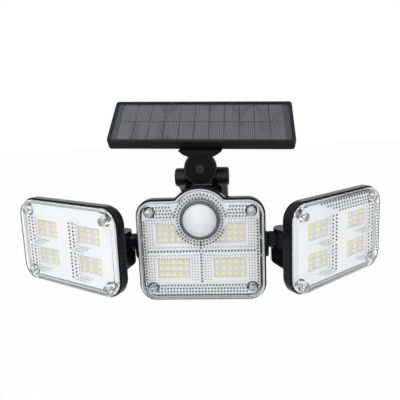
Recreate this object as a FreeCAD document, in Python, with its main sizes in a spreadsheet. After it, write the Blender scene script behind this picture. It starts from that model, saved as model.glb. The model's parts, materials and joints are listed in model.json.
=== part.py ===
"""Wall-mounted solar security light with a motion sensor and three adjustable lamp heads.

World frame: origin at the centre of the wall plate's rear face, +Z up, +X to the right as
seen from the front, +Y into the wall. All lengths are millimetres, all angles degrees.
"""

import FreeCAD, Part
import math
import os
import Sketcher

VECTOR = FreeCAD.Vector
FOLDER = "parts"
X_WAY = "vector(1; 0; 0)"
Y_WAY = "vector(0; 1; 0)"
Z_WAY = "vector(0; 0; 1)"

SIZES = (
    # The wall plate and the hinge bolt that carries everything
    ("stand_off", 88, "wall to the rim plane of the centre head"),
    ("lamp_drop", 30, "centre head's middle below the wall plate's middle"),
    ("plate_wide", 46, "wall plate width"),
    ("plate_tall", 60, "wall plate height"),
    ("plate_thick", 3.5, "wall plate thickness"),
    ("plate_corner", 6, "wall plate corner radius"),
    ("hole_across", 22, "wall screw spacing, sideways"),
    ("hole_along", 44, "wall screw spacing, up and down"),
    ("hole_radius", 2.5, "wall screw hole radius"),
    ("bolt_back", 40, "hinge bolt behind the rim plane"),
    ("bolt_up", 58, "hinge bolt above the centre head's middle"),
    ("bolt_radius", 3, "hinge bolt shank radius"),
    ("running_gap", 0.05, "radial clearance of a turning fit"),
    ("ear_inner", 15.3, "inner face of an ear"),
    ("ear_outer", 25.3, "outer face of an ear's boss"),
    ("ear_radius", 8.7, "radius of an ear's boss"),
    ("web_inner", 17.4, "inner face of an ear's web"),
    ("web_outer", 22.8, "outer face of an ear's web"),
    ("nut_flats", 10, "bolt head and nut across flats"),
    ("nut_room", 6, "radius of the recess round the bolt head and nut"),
    ("recess_deep", 5, "depth of that recess"),
    ("washer_thick", 1, "washer thickness"),
    # The centre head
    ("lamp_wide", 112, "centre head width"),
    ("lamp_tall", 92, "centre head height without the bump"),
    ("lamp_corner", 15, "centre head corner radius"),
    ("bump_radius", 27.9, "radius of the bump round the sensor"),
    ("bump_up", 28.2, "sensor axis above the centre head's middle"),
    ("bump_blend", 4, "concave radius beside the bump"),
    ("lamp_deep", 20, "centre housing depth behind the rim"),
    ("hood_deep", 12.4, "depth of the bump behind the rim"),
    ("pack_wide", 78, "battery bulge width"),
    ("pack_tall", 27, "battery bulge height"),
    ("pack_down", 22, "battery axis below the centre head's middle"),
    ("pack_deep", 30, "rear face of the battery bulge behind the rim"),
    ("control_back", 9, "front of the control board behind the rim plane"),
    ("button_back", 10.4, "power button behind the rim plane"),
    ("cell_radius", 9.15, "battery cell radius"),
    ("cell_long", 65, "battery cell length"),
    ("cell_back", 16.8, "battery axis behind the rim plane"),
    ("lug_inner", 9.7, "inner face of a hinge lug"),
    ("lug_outer", 14.8, "outer face of a hinge lug"),
    ("lug_radius", 8, "radius of a hinge lug"),
    # What the three heads have in common
    ("band_deep", 7, "depth of the rim band"),
    ("band_step", 1.6, "step from the rim band to the back shell"),
    ("wall_thick", 2.2, "housing wall"),
    ("back_round", 7, "rounding of the housing's rear edge"),
    ("seal_thick", 0.9, "gasket thickness"),
    ("seal_inset", 1.5, "gasket and lens inset from the rim's outside"),
    ("lens_rise", 6, "lens front in front of the rim plane"),
    ("lens_wall", 1.8, "lens thickness"),
    ("lens_round", 3.5, "rounding of the lens's front edge"),
    ("post_radius", 3.5, "radius of a screw post"),
    ("screw_radius", 1.5, "lens screw shank radius"),
    ("screw_head", 2.8, "lens screw head radius"),
    ("tray_inset", 5.2, "reflector inset from the rim's outside"),
    ("tray_back", 0.3, "reflector's front behind the rim plane"),
    ("tray_thick", 1.1, "reflector sheet thickness"),
    ("board_back", 2, "front of the light board behind the rim plane"),
    ("board_inset", 6.6, "light board inset from the rim's outside"),
    ("notch_radius", 5.2, "cut-outs of reflector and board round the screw posts"),
    ("board_thick", 1.4, "light board thickness"),
    ("light_wide", 3.5, "light emitter width"),
    ("light_tall", 2.8, "light emitter height"),
    ("light_thick", 0.7, "light emitter thickness"),
    ("pane_across", 24.65, "middle of a window of the centre head, sideways"),
    ("pane_wide", 28.7, "window width"),
    ("pane_tall", 17.7, "window height"),
    ("pane_upper", 15, "middle of the upper windows, above the head's middle"),
    ("pane_lower", -16.8, "middle of the lower windows"),
    ("pane_cut_out", 15.8, "top corner of an upper window inward of its outer edge"),
    ("pane_cut_up", 2.1, "lower end of that window's slanted edge above its foot"),
    ("screw_across", 44, "lens screws to the side of the centre head's middle"),
    ("screw_up", 34.4, "lens screws above and below it"),
    ("pitch_across", 5.55, "light emitters side by side"),
    ("pitch_up", 5.7, "light emitters one above the other"),
    ("dome_radius", 16, "sensor dome's sphere, centred in the rim plane"),
    ("dome_start", 7, "where the sphere starts, in front of the rim plane"),
    ("dome_wall", 0.8, "dome wall"),
    ("dome_foot", 15.7, "radius of the dome's foot"),
    ("bezel_radius", 17.2, "radius of the ring round the dome"),
    ("bezel_front", 7.2, "front of that ring in front of the rim plane"),
    ("bezel_flange", 0.4, "thickness of the ring's flange"),
    ("lip_thick", 1.6, "thickness of the ring's lip"),
    # The side heads and their arms
    ("side_wide", 117.2, "side head width"),
    ("side_tall", 77, "side head height"),
    ("side_corner", 16, "side head corner radius"),
    ("side_deep", 20, "side housing depth behind the rim"),
    ("side_out", 29, "side head's middle outward of its swing axis"),
    ("side_up", 9, "side head's middle above the centre head's"),
    ("side_reach", 35.5, "rim plane of a side head in front of its swing axis"),
    ("left_turn", 27.5, "left head turned outward"),
    ("right_turn", 40.25, "right head turned outward"),
    ("side_pane_across", 25.9, "middle of a side head's window, sideways"),
    ("side_pane_wide", 25.5, "side window width"),
    ("side_pane_tall", 15, "side window height"),
    ("side_pane_up", 13, "middle of a side window above or below the head's middle"),
    ("side_screw_across", 47.3, "lens screws to the side of the pattern's middle"),
    ("side_screw_up", 28.6, "lens screws above and below it"),
    ("side_pitch_across", 9, "light emitters side by side in a side head"),
    ("side_pitch_up", 4.65, "light emitters one above the other in a side head"),
    ("pattern_out", 1, "windows and screws outward of the side head's middle"),
    ("pattern_up", -1.4, "windows and screws above the side head's middle"),
    ("swing_across", 71.8, "swing axis to the side of the middle"),
    ("swing_back", 10.4, "swing axis behind the rim plane"),
    ("arm_up", 5.4, "arm axis above the centre head's middle"),
    ("arm_radius", 7.2, "arm radius"),
    ("spigot_radius", 4.5, "radius of the arm's spigot"),
    ("socket_face", 58.8, "outer face of an arm socket"),
    ("barrel_radius", 8.5, "radius of the arm's upright barrel"),
    ("barrel_top", 12.6, "top of the barrel"),
    ("barrel_foot", -2.2, "foot of the barrel"),
    ("yoke_gap", 0.3, "play between the barrel and the yoke"),
    ("yoke_radius", 10.3, "radius of the lower yoke lug"),
    ("yoke_plate", 2.8, "thickness of the upper yoke lug"),
    ("pin_radius", 2.5, "hinge pin radius"),
    # The solar panel and its knuckle
    ("panel_wide", 170, "panel width"),
    ("panel_long", 54, "panel size up its slope"),
    ("panel_thick", 11, "panel thickness"),
    ("panel_corner", 3, "panel corner radius"),
    ("panel_slope", 41, "slope of the panel"),
    ("panel_roll", 1.9, "panel turned about its roll axis"),
    ("panel_back", 21.3, "middle of the panel's top behind the barrel's face"),
    ("panel_up", 41.7, "middle of the panel's top above the roll axis"),
    ("foot_forward", 12.2, "middle of the foot's seat forward of the panel's middle"),
    ("foot_wide", 39, "foot width under the panel"),
    ("crown_up", 16.3, "top of the foot over the barrel, above the roll axis"),
    ("roll_back", 22, "barrel's front face behind the rim plane"),
    ("roll_up", 68.7, "roll axis above the centre head's middle"),
    ("disc_radius", 12.9, "radius of the panel foot's disc"),
    ("disc_thick", 5.5, "thickness of that disc"),
    ("disc_gap", 0.5, "gap between the disc and the barrel"),
    ("knuckle_radius", 14.7, "radius of the knuckle's barrel"),
    ("knuckle_long", 7.4, "length of the knuckle's barrel"),
    ("tongue_half", 9.3, "half the width of the knuckle's tongue"),
    ("tongue_radius", 8.3, "radius of the tongue round the bolt"),
    ("laminate_gap", 0.3, "play round the panel's laminate"),
    ("rim_wide", 2.6, "panel rim width"),
)

doc = FreeCAD.newDocument("security_light")
sheet = doc.addObject("Spreadsheet::Sheet", "size")
for row, (alias, number, note) in enumerate(SIZES, start=1):
    sheet.set("A%d" % row, note)
    sheet.set("B%d" % row, str(number))
    sheet.setAlias("B%d" % row, alias)
doc.recompute()

sub_parts = []


# Small helpers


def value(expression):
    """The number that an expression on the sheet gives now."""
    return float(sheet.evalExpression(str(expression)))


def at(x="0", y="0", z="0", way=Z_WAY, turn="0"):
    """The expression of a placement."""
    return "placement(vector(%s; %s; %s); rotation(%s; %s))" % (x, y, z, way, turn)


def less(expression, amount):
    return "(%s) - (%s)" % (expression, amount)


def new_body(name, frame):
    body = doc.addObject("PartDesign::Body", name)
    body.Label = name
    body.setExpression("Placement", frame)
    sub_parts.append(body)
    return body


def new_sketch(body, name, role="XZ_Plane", offset="0", turned=None):
    """A sketch on one of the body's own planes, offset along the plane's normal."""
    sketch = body.newObject("Sketcher::SketchObject", name)
    support = next(item for item in body.Origin.OriginFeatures if item.Role == role)
    sketch.AttachmentSupport = [(support, "")]
    sketch.MapMode = "FlatFace"
    sketch.setExpression("AttachmentOffset", turned or at(z=offset))
    return sketch


def bound(sketch, kind, *where, size):
    """A dimension of a sketch that follows the sheet."""
    number = sketch.addConstraint(Sketcher.Constraint(kind, *where, value(size)))
    sketch.setExpression("Constraints[%d]" % number, str(size))


def locate(sketch, curve, point, x, y):
    bound(sketch, "DistanceX", -1, 1, curve, point, size=x)
    bound(sketch, "DistanceY", -1, 1, curve, point, size=y)


def circle(sketch, x, y, radius):
    middle = VECTOR(value(x), value(y), 0)
    curve = sketch.addGeometry(Part.Circle(middle, VECTOR(0, 0, 1), value(radius)))
    locate(sketch, curve, 3, x, y)
    bound(sketch, "Radius", curve, size=radius)


def polygon(sketch, corners):
    """A closed outline of straight lines through corners given as expressions."""
    points = [VECTOR(value(x), value(y), 0) for x, y in corners]
    first = sketch.GeometryCount
    count = len(points)
    for index in range(count):
        sketch.addGeometry(Part.LineSegment(points[index], points[(index + 1) % count]))
    for index in range(count):
        following = first + (index + 1) % count
        sketch.addConstraint(Sketcher.Constraint("Coincident", first + index, 2, following, 1))
    for index, (x, y) in enumerate(corners):
        locate(sketch, first + index, 1, x, y)


def arc(x, y, radius, start, end):
    """A counter-clockwise arc between two angles in degrees."""
    whole = Part.Circle(VECTOR(x, y, 0), VECTOR(0, 0, 1), radius)
    return Part.ArcOfCircle(whole, math.radians(start), math.radians(end))


def corner_arc(sketch, x, y, radius, quarter):
    """A quarter of a circle that starts at 0, 90, 180 or 270 degrees."""
    start = 90 * quarter
    curve = sketch.addGeometry(arc(value(x), value(y), value(radius), start, start + 90))
    locate(sketch, curve, 3, x, y)
    bound(sketch, "Radius", curve, size=radius)
    level, upright = ("Horizontal", "Vertical") if quarter % 2 == 0 else ("Vertical", "Horizontal")
    sketch.addConstraint(Sketcher.Constraint(level, curve, 3, curve, 1))
    sketch.addConstraint(Sketcher.Constraint(upright, curve, 3, curve, 2))
    return curve


def join(sketch, start, end):
    """A straight line between the ends of two curves, each given as curve and point."""
    line = sketch.addGeometry(Part.LineSegment(sketch.getPoint(*start), sketch.getPoint(*end)))
    sketch.addConstraint(Sketcher.Constraint("Coincident", line, 1, *start))
    sketch.addConstraint(Sketcher.Constraint("Coincident", line, 2, *end))


def corners(sketch, wide, tall, radius, x, y):
    """The four rounded corners of a rectangle, from the top right one round to the left."""
    across, up = "((%s) / 2 - (%s))" % (wide, radius), "((%s) / 2 - (%s))" % (tall, radius)
    signs = ((1, 1), (-1, 1), (-1, -1), (1, -1))
    return [corner_arc(sketch, "%s + %d * %s" % (x, a, across), "%s + %d * %s" % (y, b, up),
                       radius, quarter) for quarter, (a, b) in enumerate(signs)]


def rounded_rectangle(sketch, wide, tall, radius, x="0", y="0"):
    turns = corners(sketch, wide, tall, radius, x, y)
    for index in range(4):
        join(sketch, (turns[index], 2), (turns[(index + 1) % 4], 1))


def bumped_rectangle(sketch, inset):
    """The centre head's outline: a rounded rectangle with a round bump on its top edge."""
    half_tall = "(size.lamp_tall / 2 - (%s))" % inset
    radius, blend = "(size.bump_radius - (%s))" % inset, "(size.bump_blend + (%s))" % inset
    turns = corners(sketch, "size.lamp_wide - 2 * (%s)" % inset, "2 * " + half_tall,
                    "size.lamp_corner - (%s)" % inset, "0", "0")
    b, f, up, top = value(radius), value(blend), value("size.bump_up"), value(half_tall)
    rise = top + f - up
    across = math.sqrt((b + f) ** 2 - rise ** 2)
    lean = math.degrees(math.atan2(rise, across))
    bump = sketch.addGeometry(arc(0, up, b, lean, 180 - lean))
    right = sketch.addGeometry(arc(across, top + f, f, 180 + lean, 270))
    left = sketch.addGeometry(arc(-across, top + f, f, 270, 360 - lean))
    locate(sketch, bump, 3, "0", "size.bump_up")
    bound(sketch, "Radius", bump, size=radius)
    for curve, foot in ((right, 2), (left, 1)):
        bound(sketch, "DistanceY", -1, 1, curve, 3, size="%s + %s" % (half_tall, blend))
        bound(sketch, "Radius", curve, size=blend)
        sketch.addConstraint(Sketcher.Constraint("Vertical", curve, 3, curve, foot))
    sketch.addConstraint(Sketcher.Constraint("Tangent", bump, 1, right, 1))
    sketch.addConstraint(Sketcher.Constraint("Tangent", bump, 2, left, 2))
    join(sketch, (turns[0], 2), (right, 2))
    join(sketch, (left, 1), (turns[1], 1))
    for index in (1, 2, 3):
        join(sketch, (turns[index], 2), (turns[(index + 1) % 4], 1))


def pad(body, sketch, length, backward=False, both=False):
    """Material along the sketch's normal, against it, or half each way."""
    feature = body.newObject("PartDesign::Pad", sketch.Name + "_pad")
    feature.Profile = sketch
    feature.setExpression("Length", length)
    feature.Reversed = backward
    feature.Midplane = both
    doc.recompute()
    return feature


def pocket(body, sketch, length, forward=False, through=False, taper="0"):
    """A cut against the sketch's normal, or along it."""
    before = body.Shape.Volume
    feature = body.newObject("PartDesign::Pocket", sketch.Name + "_cut")
    feature.Profile = sketch
    if through:
        feature.Type = "ThroughAll"
    else:
        feature.setExpression("Length", length)
    feature.Reversed = forward
    feature.Midplane = through
    feature.setExpression("TaperAngle", taper)
    doc.recompute()
    if body.Shape.Volume >= before:
        raise RuntimeError("%s cuts nothing from %s" % (feature.Name, body.Label))
    return feature


def fillet(body, name, radius, wanted, kind="Fillet"):
    """Rounds or chamfers the edges of the body's last feature that a test picks."""
    base = body.Tip
    names = ["Edge%d" % n for n, edge in enumerate(base.Shape.Edges, start=1) if wanted(edge)]
    feature = body.newObject("PartDesign::%s" % kind, name)
    feature.Base = (base, names)
    feature.setExpression("Radius" if kind == "Fillet" else "Size", radius)
    doc.recompute()
    return feature


def flat_at(axis, place):
    """Picks the edges that lie in the plane where one coordinate has a given value."""
    low, high = axis + "Min", axis + "Max"

    def test(edge):
        box = edge.BoundBox
        return abs(getattr(box, low) - place) < 0.01 and abs(getattr(box, high) - place) < 0.01

    return test


def primitive(kind, name, frame=None, **sizes):
    item = doc.addObject("Part::" + kind, name)
    for prop, size in sizes.items():
        item.setExpression(prop, str(size))
    if frame:
        item.setExpression("Placement", frame)
    return item


def cut(name, base, tool):
    item = doc.addObject("Part::Cut", name)
    item.Base = base
    item.Tool = tool
    return item


def fuse(name, *shapes):
    item = doc.addObject("Part::MultiFuse", name)
    item.Shapes = list(shapes)
    return item


def finish(item, name):
    """Makes an object a sub-part under its node name."""
    item.Label = name
    sub_parts.append(item)
    return item


def group(name, frame, solids):
    """One node that holds several separate solids, modelled in a frame."""
    item = doc.addObject("Part::Feature", name)
    item.Shape = Part.Compound(solids)
    item.setExpression("Placement", frame)
    return finish(item, name)


# Frames, as placement expressions

LAMP = at("0", "-size.stand_off", "-size.lamp_drop")
BOLT = at("0", "size.bolt_back - size.stand_off", "size.bolt_up - size.lamp_drop")
ROLL = at("0", "size.roll_back - size.stand_off", "size.roll_up - size.lamp_drop", Y_WAY,
          "size.panel_roll")
SLOPE_IN_ROLL = at("0", "size.panel_back", "size.panel_up", X_WAY, "size.panel_slope")
SLOPE = ROLL + " * " + SLOPE_IN_ROLL
ALONG_X = at(way=Y_WAY, turn="90")


def swing_frame(side, turn="0"):
    """The frame of a side's swing axis, at the height of the centre head's middle."""
    return at("%d * size.swing_across" % side, "size.swing_back - size.stand_off",
              "-size.lamp_drop", Z_WAY, "%d * %s" % (side, turn))


class Head:
    """One lamp head: its frame, outline, windows and screws, in that frame."""

    def __init__(self, name, frame, side=0):
        self.name = name
        self.frame = frame
        self.side = side
        self.x = "%d * size.side_out" % side
        self.z = "size.side_up" if side else "0"
        self.mid_x = "%d * (size.side_out + size.pattern_out)" % side
        self.mid_z = "(size.side_up + size.pattern_up)" if side else "0"
        self.rim = "-size.side_reach" if side else "0"
        self.deep = "size.side_deep" if side else "size.lamp_deep"

    def sketch(self, body, name, behind):
        """A sketch across the head, a distance behind its rim plane."""
        return new_sketch(body, name, offset="-(%s) - (%s)" % (self.rim, behind))

    def outline(self, sketch, inset):
        """The head's outline, drawn in by a distance."""
        if self.side:
            self.plain_outline(sketch, inset)
        else:
            bumped_rectangle(sketch, inset)

    def plain_outline(self, sketch, inset):
        """The same without the bump."""
        family = "size.side_" if self.side else "size.lamp_"
        wide, tall = ("%s%s - 2 * (%s)" % (family, word, inset) for word in ("wide", "tall"))
        rounded_rectangle(sketch, wide, tall, "%scorner - (%s)" % (family, inset), self.x, self.z)

    def screws(self):
        """Where the four lens screws are, as expressions."""
        if self.side:
            across, up = "size.side_screw_across", "size.side_screw_up"
        else:
            across, up = "size.screw_across", "size.screw_up"
        return [("%s + %d * %s" % (self.mid_x, a, across), "%s + %d * %s" % (self.mid_z, b, up))
                for a in (-1, 1) for b in (-1, 1)]

    def posts(self):
        """Where the two posts behind the light board are."""
        across, up = ("52", "0") if self.side else ("40.5", "-0.9")
        return [("%s + %d * (%s)" % (self.x, a, across), "%s + %s" % (self.z, up)) for a in (-1, 1)]

    def windows(self):
        """Middle of each window in the reflector, as expressions, and which side it is on."""
        if self.side:
            across, heights = "size.side_pane_across", ("size.side_pane_up", "-size.side_pane_up")
        else:
            across, heights = "size.pane_across", ("size.pane_upper", "size.pane_lower")
        return [("%s + %d * %s" % (self.mid_x, a, across), "%s + %s" % (self.mid_z, height), a)
                for a in (-1, 1) for height in heights]

    def window_size(self):
        family = "size.side_pane_" if self.side else "size.pane_"
        return family + "wide", family + "tall"


CONTROL_POSTS = [(x, z) for x in ("-17", "17") for z in ("13.5", "37.5")]
CENTRE = Head("centre", LAMP)
LEFT = Head("left", swing_frame(-1, "size.left_turn"), -1)
RIGHT = Head("right", swing_frame(1, "size.right_turn"), 1)
HEADS = (CENTRE, LEFT, RIGHT)


# Wall bracket and hinge bolt


def wall_bracket():
    """A plate with two ears that fork round the lamp's lugs and the panel's knuckle."""
    body = new_body("wall_bracket", at())
    plate = new_sketch(body, "plate")
    rounded_rectangle(plate, "size.plate_wide", "size.plate_tall", "size.plate_corner")
    pad(body, plate, "size.plate_thick")
    fillet(body, "plate_edge", "1", flat_at("Y", -value("size.plate_thick")))
    bolt_y, bolt_z = "size.bolt_back - size.stand_off", "size.bolt_up - size.lamp_drop"
    thick = "size.web_outer - size.web_inner"
    for side, start, boss_start in ((1, "size.web_inner", "size.ear_inner"),
                                    (-1, "-size.web_outer", "-size.ear_outer")):
        web = new_sketch(body, "web_%d" % (side + 1), "YZ_Plane", start)
        polygon(web, (
            ("-size.plate_thick / 2", "-18"),
            ("-size.plate_thick / 2", bolt_z),
            (bolt_y, bolt_z + " + size.ear_radius - 0.4"),
            (bolt_y + " - 2", bolt_z + " - size.ear_radius + 0.6"),
            (bolt_y + " + 12", bolt_z + " - size.ear_radius - 6"),
        ))
        pad(body, web, thick)
        boss = new_sketch(body, "boss_%d" % (side + 1), "YZ_Plane", boss_start)
        circle(boss, bolt_y, bolt_z, "size.ear_radius")
        pad(body, boss, "size.ear_outer - size.ear_inner")
    for place in (value("size.ear_outer"), -value("size.ear_outer")):
        fillet(body, "boss_round_%d" % (place > 0), "2.2", flat_at("X", place))
    bore = new_sketch(body, "bore", "YZ_Plane")
    circle(bore, bolt_y, bolt_z, "size.bolt_radius + 0.2")
    pocket(body, bore, "0", through=True)
    for side in (1, -1):
        recess = new_sketch(body, "recess_%d" % (side + 1), "YZ_Plane", "%d * size.ear_outer" % side)
        circle(recess, bolt_y, bolt_z, "size.nut_room")
        pocket(body, recess, "size.recess_deep", forward=side < 0)
    holes = new_sketch(body, "wall_holes")
    for a in (-1, 1):
        for b in (-1, 1):
            circle(holes, "%d * size.hole_across / 2" % a, "%d * size.hole_along / 2" % b,
                   "size.hole_radius")
    pocket(body, holes, "0", through=True)


def hinge_bolt():
    """The bolt through the ears with its nut and washers, all along X."""
    head_start = "size.ear_outer - size.recess_deep + size.washer_thick"
    corner = "size.nut_flats / 2 / cos(30)"
    shank = primitive("Cylinder", "bolt_shank", BOLT + " * " + ALONG_X + " * " + at(z="-24.4"),
                      Radius="size.bolt_radius", Height="24.4 + " + head_start)
    head = primitive("Prism", "bolt_head", BOLT + " * " + ALONG_X + " * " + at(z=head_start),
                     Circumradius=corner, Height="3.6")
    finish(fuse("pivot_bolt", shank, head), "pivot_bolt")
    nut = primitive("Prism", "nut_block", BOLT + " * " + ALONG_X + " * " + at(z="-(%s) - 3.4" % head_start),
                    Circumradius=corner, Height="3.4")
    thread = primitive("Cylinder", "nut_bore", BOLT + " * " + ALONG_X + " * " + at(z="-30"),
                       Radius="size.bolt_radius + 0.05", Height="12")
    finish(cut("pivot_nut", nut, thread), "pivot_nut")
    start = value("size.ear_outer - size.recess_deep")
    rings = []
    for begin in (start, -start - value("size.washer_thick")):
        disc = Part.makeCylinder(5.6, value("size.washer_thick"), VECTOR(begin, 0, 0), VECTOR(1, 0, 0))
        hole = Part.makeCylinder(3.15, 4, VECTOR(begin - 1, 0, 0), VECTOR(1, 0, 0))
        rings.append(disc.cut(hole))
    group("pivot_washers", BOLT, rings)


# Pieces that every head has


def shell(head, body):
    """The moulded back shell: rim band, stepped and rounded back, and the cavity."""
    band = head.sketch(body, "band", "0")
    head.outline(band, "0")
    pad(body, band, "size.band_deep", backward=True)
    fillet(body, "band_edge", "0.7", flat_at("Y", value("%s + size.band_deep" % head.rim)), "Chamfer")
    if not head.side:
        hood = head.sketch(body, "hood", "size.band_deep / 2")
        circle(hood, "0", "size.bump_up", "size.bump_radius - size.band_step")
        pad(body, hood, "size.hood_deep - size.band_deep / 2", backward=True)
        fillet(body, "hood_edge", "2.5", flat_at("Y", value("size.hood_deep")))
    back = head.sketch(body, "back", "size.band_deep / 2")
    head.plain_outline(back, "size.band_step")
    pad(body, back, "%s - size.band_deep / 2" % head.deep, backward=True)
    rear = value("%s + %s" % (head.rim, head.deep))
    fillet(body, "back_edge", "size.back_round", flat_at("Y", rear))
    cavity = head.sketch(body, "cavity", "0")
    head.plain_outline(cavity, "size.band_step + size.wall_thick")
    pocket(body, cavity, "%s - size.wall_thick" % head.deep)
    floor = rear - value("size.wall_thick")
    fillet(body, "cavity_edge", "size.back_round - size.wall_thick", flat_at("Y", floor))
    if not head.side:
        room = head.sketch(body, "hood_room", "0")
        circle(room, "0", "size.bump_up", "size.bump_radius - size.band_step - size.wall_thick")
        pocket(body, room, "size.hood_deep - size.wall_thick")


def add_posts(head, body):
    """Screw posts for the lens and for the light board, with their pilot holes."""
    floor = "%s - size.wall_thick / 2" % head.deep
    posts = head.sketch(body, "lens_posts", floor)
    for x, z in head.screws():
        circle(posts, x, z, "size.post_radius")
    pad(body, posts, "%s + size.seal_thick - 0.1" % floor)
    stands = head.sketch(body, "board_posts", floor)
    for x, z in head.posts():
        circle(stands, x, z, "3")
    pad(body, stands, "%s - size.board_back - size.board_thick" % floor)
    pilots = head.sketch(body, "pilots", "-size.seal_thick")
    for x, z in head.screws():
        circle(pilots, x, z, "size.screw_radius + 0.05")
    pocket(body, pilots, "12")
    taps = head.sketch(body, "taps", "0")
    for x, z in head.posts():
        circle(taps, x, z, "1.3")
    pocket(body, taps, "12")
    if not head.side:
        feet = head.sketch(body, "control_posts", floor)
        for x, z in CONTROL_POSTS:
            circle(feet, x, z, "2.3")
        pad(body, feet, "%s - size.control_back - 1.6" % floor)
        threads = head.sketch(body, "control_taps", "0")
        for x, z in CONTROL_POSTS:
            circle(threads, x, z, "1.1")
        pocket(body, threads, "15")


def gasket(head):
    """The black seal between rim and lens."""
    body = new_body(head.name + "_gasket", head.frame)
    outer = head.sketch(body, "outer", "0")
    head.outline(outer, "size.seal_inset + 0.3")
    pad(body, outer, "size.seal_thick")
    inner = head.sketch(body, "inner", "-size.seal_thick")
    head.outline(inner, "size.band_step + size.wall_thick")
    pocket(body, inner, "size.seal_thick")
    if head.side:
        posts = head.sketch(body, "posts", "-size.seal_thick")
        for x, z in head.screws():
            circle(posts, x, z, "size.post_radius + 0.2")
        pocket(body, posts, "size.seal_thick")


def lens(head):
    """The clear cover: a shallow tray with a rounded front edge and four screw posts."""
    body = new_body(head.name + "_lens", head.frame)
    outer = head.sketch(body, "outer", "-size.seal_thick")
    head.outline(outer, "size.seal_inset")
    pad(body, outer, "size.lens_rise - size.seal_thick")
    front = value("%s - size.lens_rise" % head.rim)
    fillet(body, "front_edge", "size.lens_round", flat_at("Y", front))
    hollow = head.sketch(body, "hollow", "-size.seal_thick")
    head.outline(hollow, "size.band_step + size.wall_thick + 0.2")
    pocket(body, hollow, "size.lens_rise - size.seal_thick - size.lens_wall", forward=True)
    posts = head.sketch(body, "posts", "-size.seal_thick")
    for x, z in head.screws():
        circle(posts, x, z, "size.post_radius")
    pad(body, posts, "size.lens_rise - size.seal_thick - size.lens_wall / 2")
    holes = head.sketch(body, "holes", "0")
    for x, z in head.screws():
        circle(holes, x, z, "size.screw_radius + 0.15")
    pocket(body, holes, "0", through=True)
    seats = head.sketch(body, "seats", "-size.lens_rise")
    for x, z in head.screws():
        circle(seats, x, z, "size.screw_head + 0.35")
    pocket(body, seats, "1.7")
    if not head.side:
        eye = head.sketch(body, "eye", "0")
        circle(eye, "0", "size.bump_up", "size.bezel_radius + 0.2")
        pocket(body, eye, "0", through=True)


def reflector(head):
    """The white tray in front of the light board, with a frame round each light group."""
    body = new_body(head.name + "_reflector", head.frame)
    front = head.sketch(body, "front", "size.tray_back")
    head.outline(front, "size.tray_inset")
    pad(body, front, "size.tray_thick", backward=True)
    wide, tall = head.window_size()
    middle = "size.tray_back + size.tray_thick / 2"
    depth = "size.board_back - %s" % middle.replace("+", "-")
    blocks = head.sketch(body, "blocks", middle)
    for x, z, side in head.windows():
        rounded_rectangle(blocks, wide + " + 2", tall + " + 2", "1.6", x, z)
    pad(body, blocks, depth, backward=True)
    openings = head.sketch(body, "openings", "0")
    for x, z, side in head.windows():
        if not head.side and value(z) > 0:
            clipped_window(openings, x, z, side)
        else:
            rounded_rectangle(openings, wide, tall, "0.9", x, z)
    pocket(body, openings, "0", through=True)
    if not head.side:
        eye = head.sketch(body, "eye", "0")
        circle(eye, "0", "size.bump_up", "size.bezel_radius + 0.3")
        pocket(body, eye, "0", through=True)
        room = head.sketch(body, "ring_room", "size.board_back")
        circle(room, "0", "size.bump_up", "size.bezel_radius + 1.8")
        pocket(body, room, "size.board_back - size.tray_back - size.tray_thick", forward=True)
    holes = head.sketch(body, "post_holes", "0")
    for x, z in head.screws():
        circle(holes, x, z, "size.notch_radius")
    pocket(body, holes, "0", through=True)


def clipped_window(sketch, x, z, side):
    """An upper centre window, whose inner top corner is cut off beside the sensor."""
    outer, inner = ("%s + %d * size.pane_wide / 2" % (x, sign * side) for sign in (1, -1))
    foot, top = ("%s + %d * size.pane_tall / 2" % (z, sign) for sign in (-1, 1))
    polygon(sketch, (
        (outer, foot), (outer, top), ("%s - %d * size.pane_cut_out" % (outer, side), top),
        (inner, foot + " + size.pane_cut_up"), (inner, foot),
    ))


def board(head):
    """The aluminium board that carries the light emitters."""
    body = new_body(head.name + "_led_board", head.frame)
    face = head.sketch(body, "face", "size.board_back")
    head.outline(face, "size.board_inset")
    pad(body, face, "size.board_thick", backward=True)
    holes = head.sketch(body, "holes", "0")
    for x, z in head.screws():
        circle(holes, x, z, "size.notch_radius")
    for x, z in head.posts():
        circle(holes, x, z, "1.6")
    if not head.side:
        circle(holes, "0", "size.bump_up", "8")
    pocket(body, holes, "0", through=True)


def light_places(head):
    """Middle of every light emitter of a head."""
    family = "size.side_pitch_" if head.side else "size.pitch_"
    across, up = value(family + "across"), value(family + "up")
    columns = 3 if head.side else 5
    places = []
    for x, z, side in head.windows():
        for row in (-1, 0, 1):
            shown = columns
            if not head.side and value(z) > 0:
                shown = 4 if row < 0 else 3
            for column in range(shown):
                out = side * ((columns - 1) / 2 - column) * across
                places.append((value(x) + out, value(z) + row * up))
    return places


def lights(head):
    wide, tall, thick = (value("size.light_" + word) for word in ("wide", "tall", "thick"))
    front = value("%s + size.board_back" % head.rim) - thick
    solids = [Part.makeBox(wide, thick, tall, VECTOR(x - wide / 2, front, z - tall / 2))
              for x, z in light_places(head)]
    group(head.name + "_leds", head.frame, solids)


def screw(x, y, z, head_radius, head_long, radius, long):
    """A pan-head screw whose head's underside is at y and whose shank points to +Y."""
    head = Part.makeCylinder(head_radius, head_long, VECTOR(x, y - head_long, z), VECTOR(0, 1, 0))
    rim = [edge for edge in head.Edges if abs(edge.BoundBox.YMax - (y - head_long)) < 0.01]
    head = head.makeFillet(head_long / 2.5, rim)
    shank = Part.makeCylinder(radius, long, VECTOR(x, y, z), VECTOR(0, 1, 0))
    return head.fuse(shank).removeSplitter()


def lens_screws(head):
    seat = value("%s - size.lens_rise" % head.rim) + 1.7
    solids = [screw(value(x), seat, value(z), value("size.screw_head"), 1.9,
                    value("size.screw_radius"), 11) for x, z in head.screws()]
    group(head.name + "_lens_screws", head.frame, solids)


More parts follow.
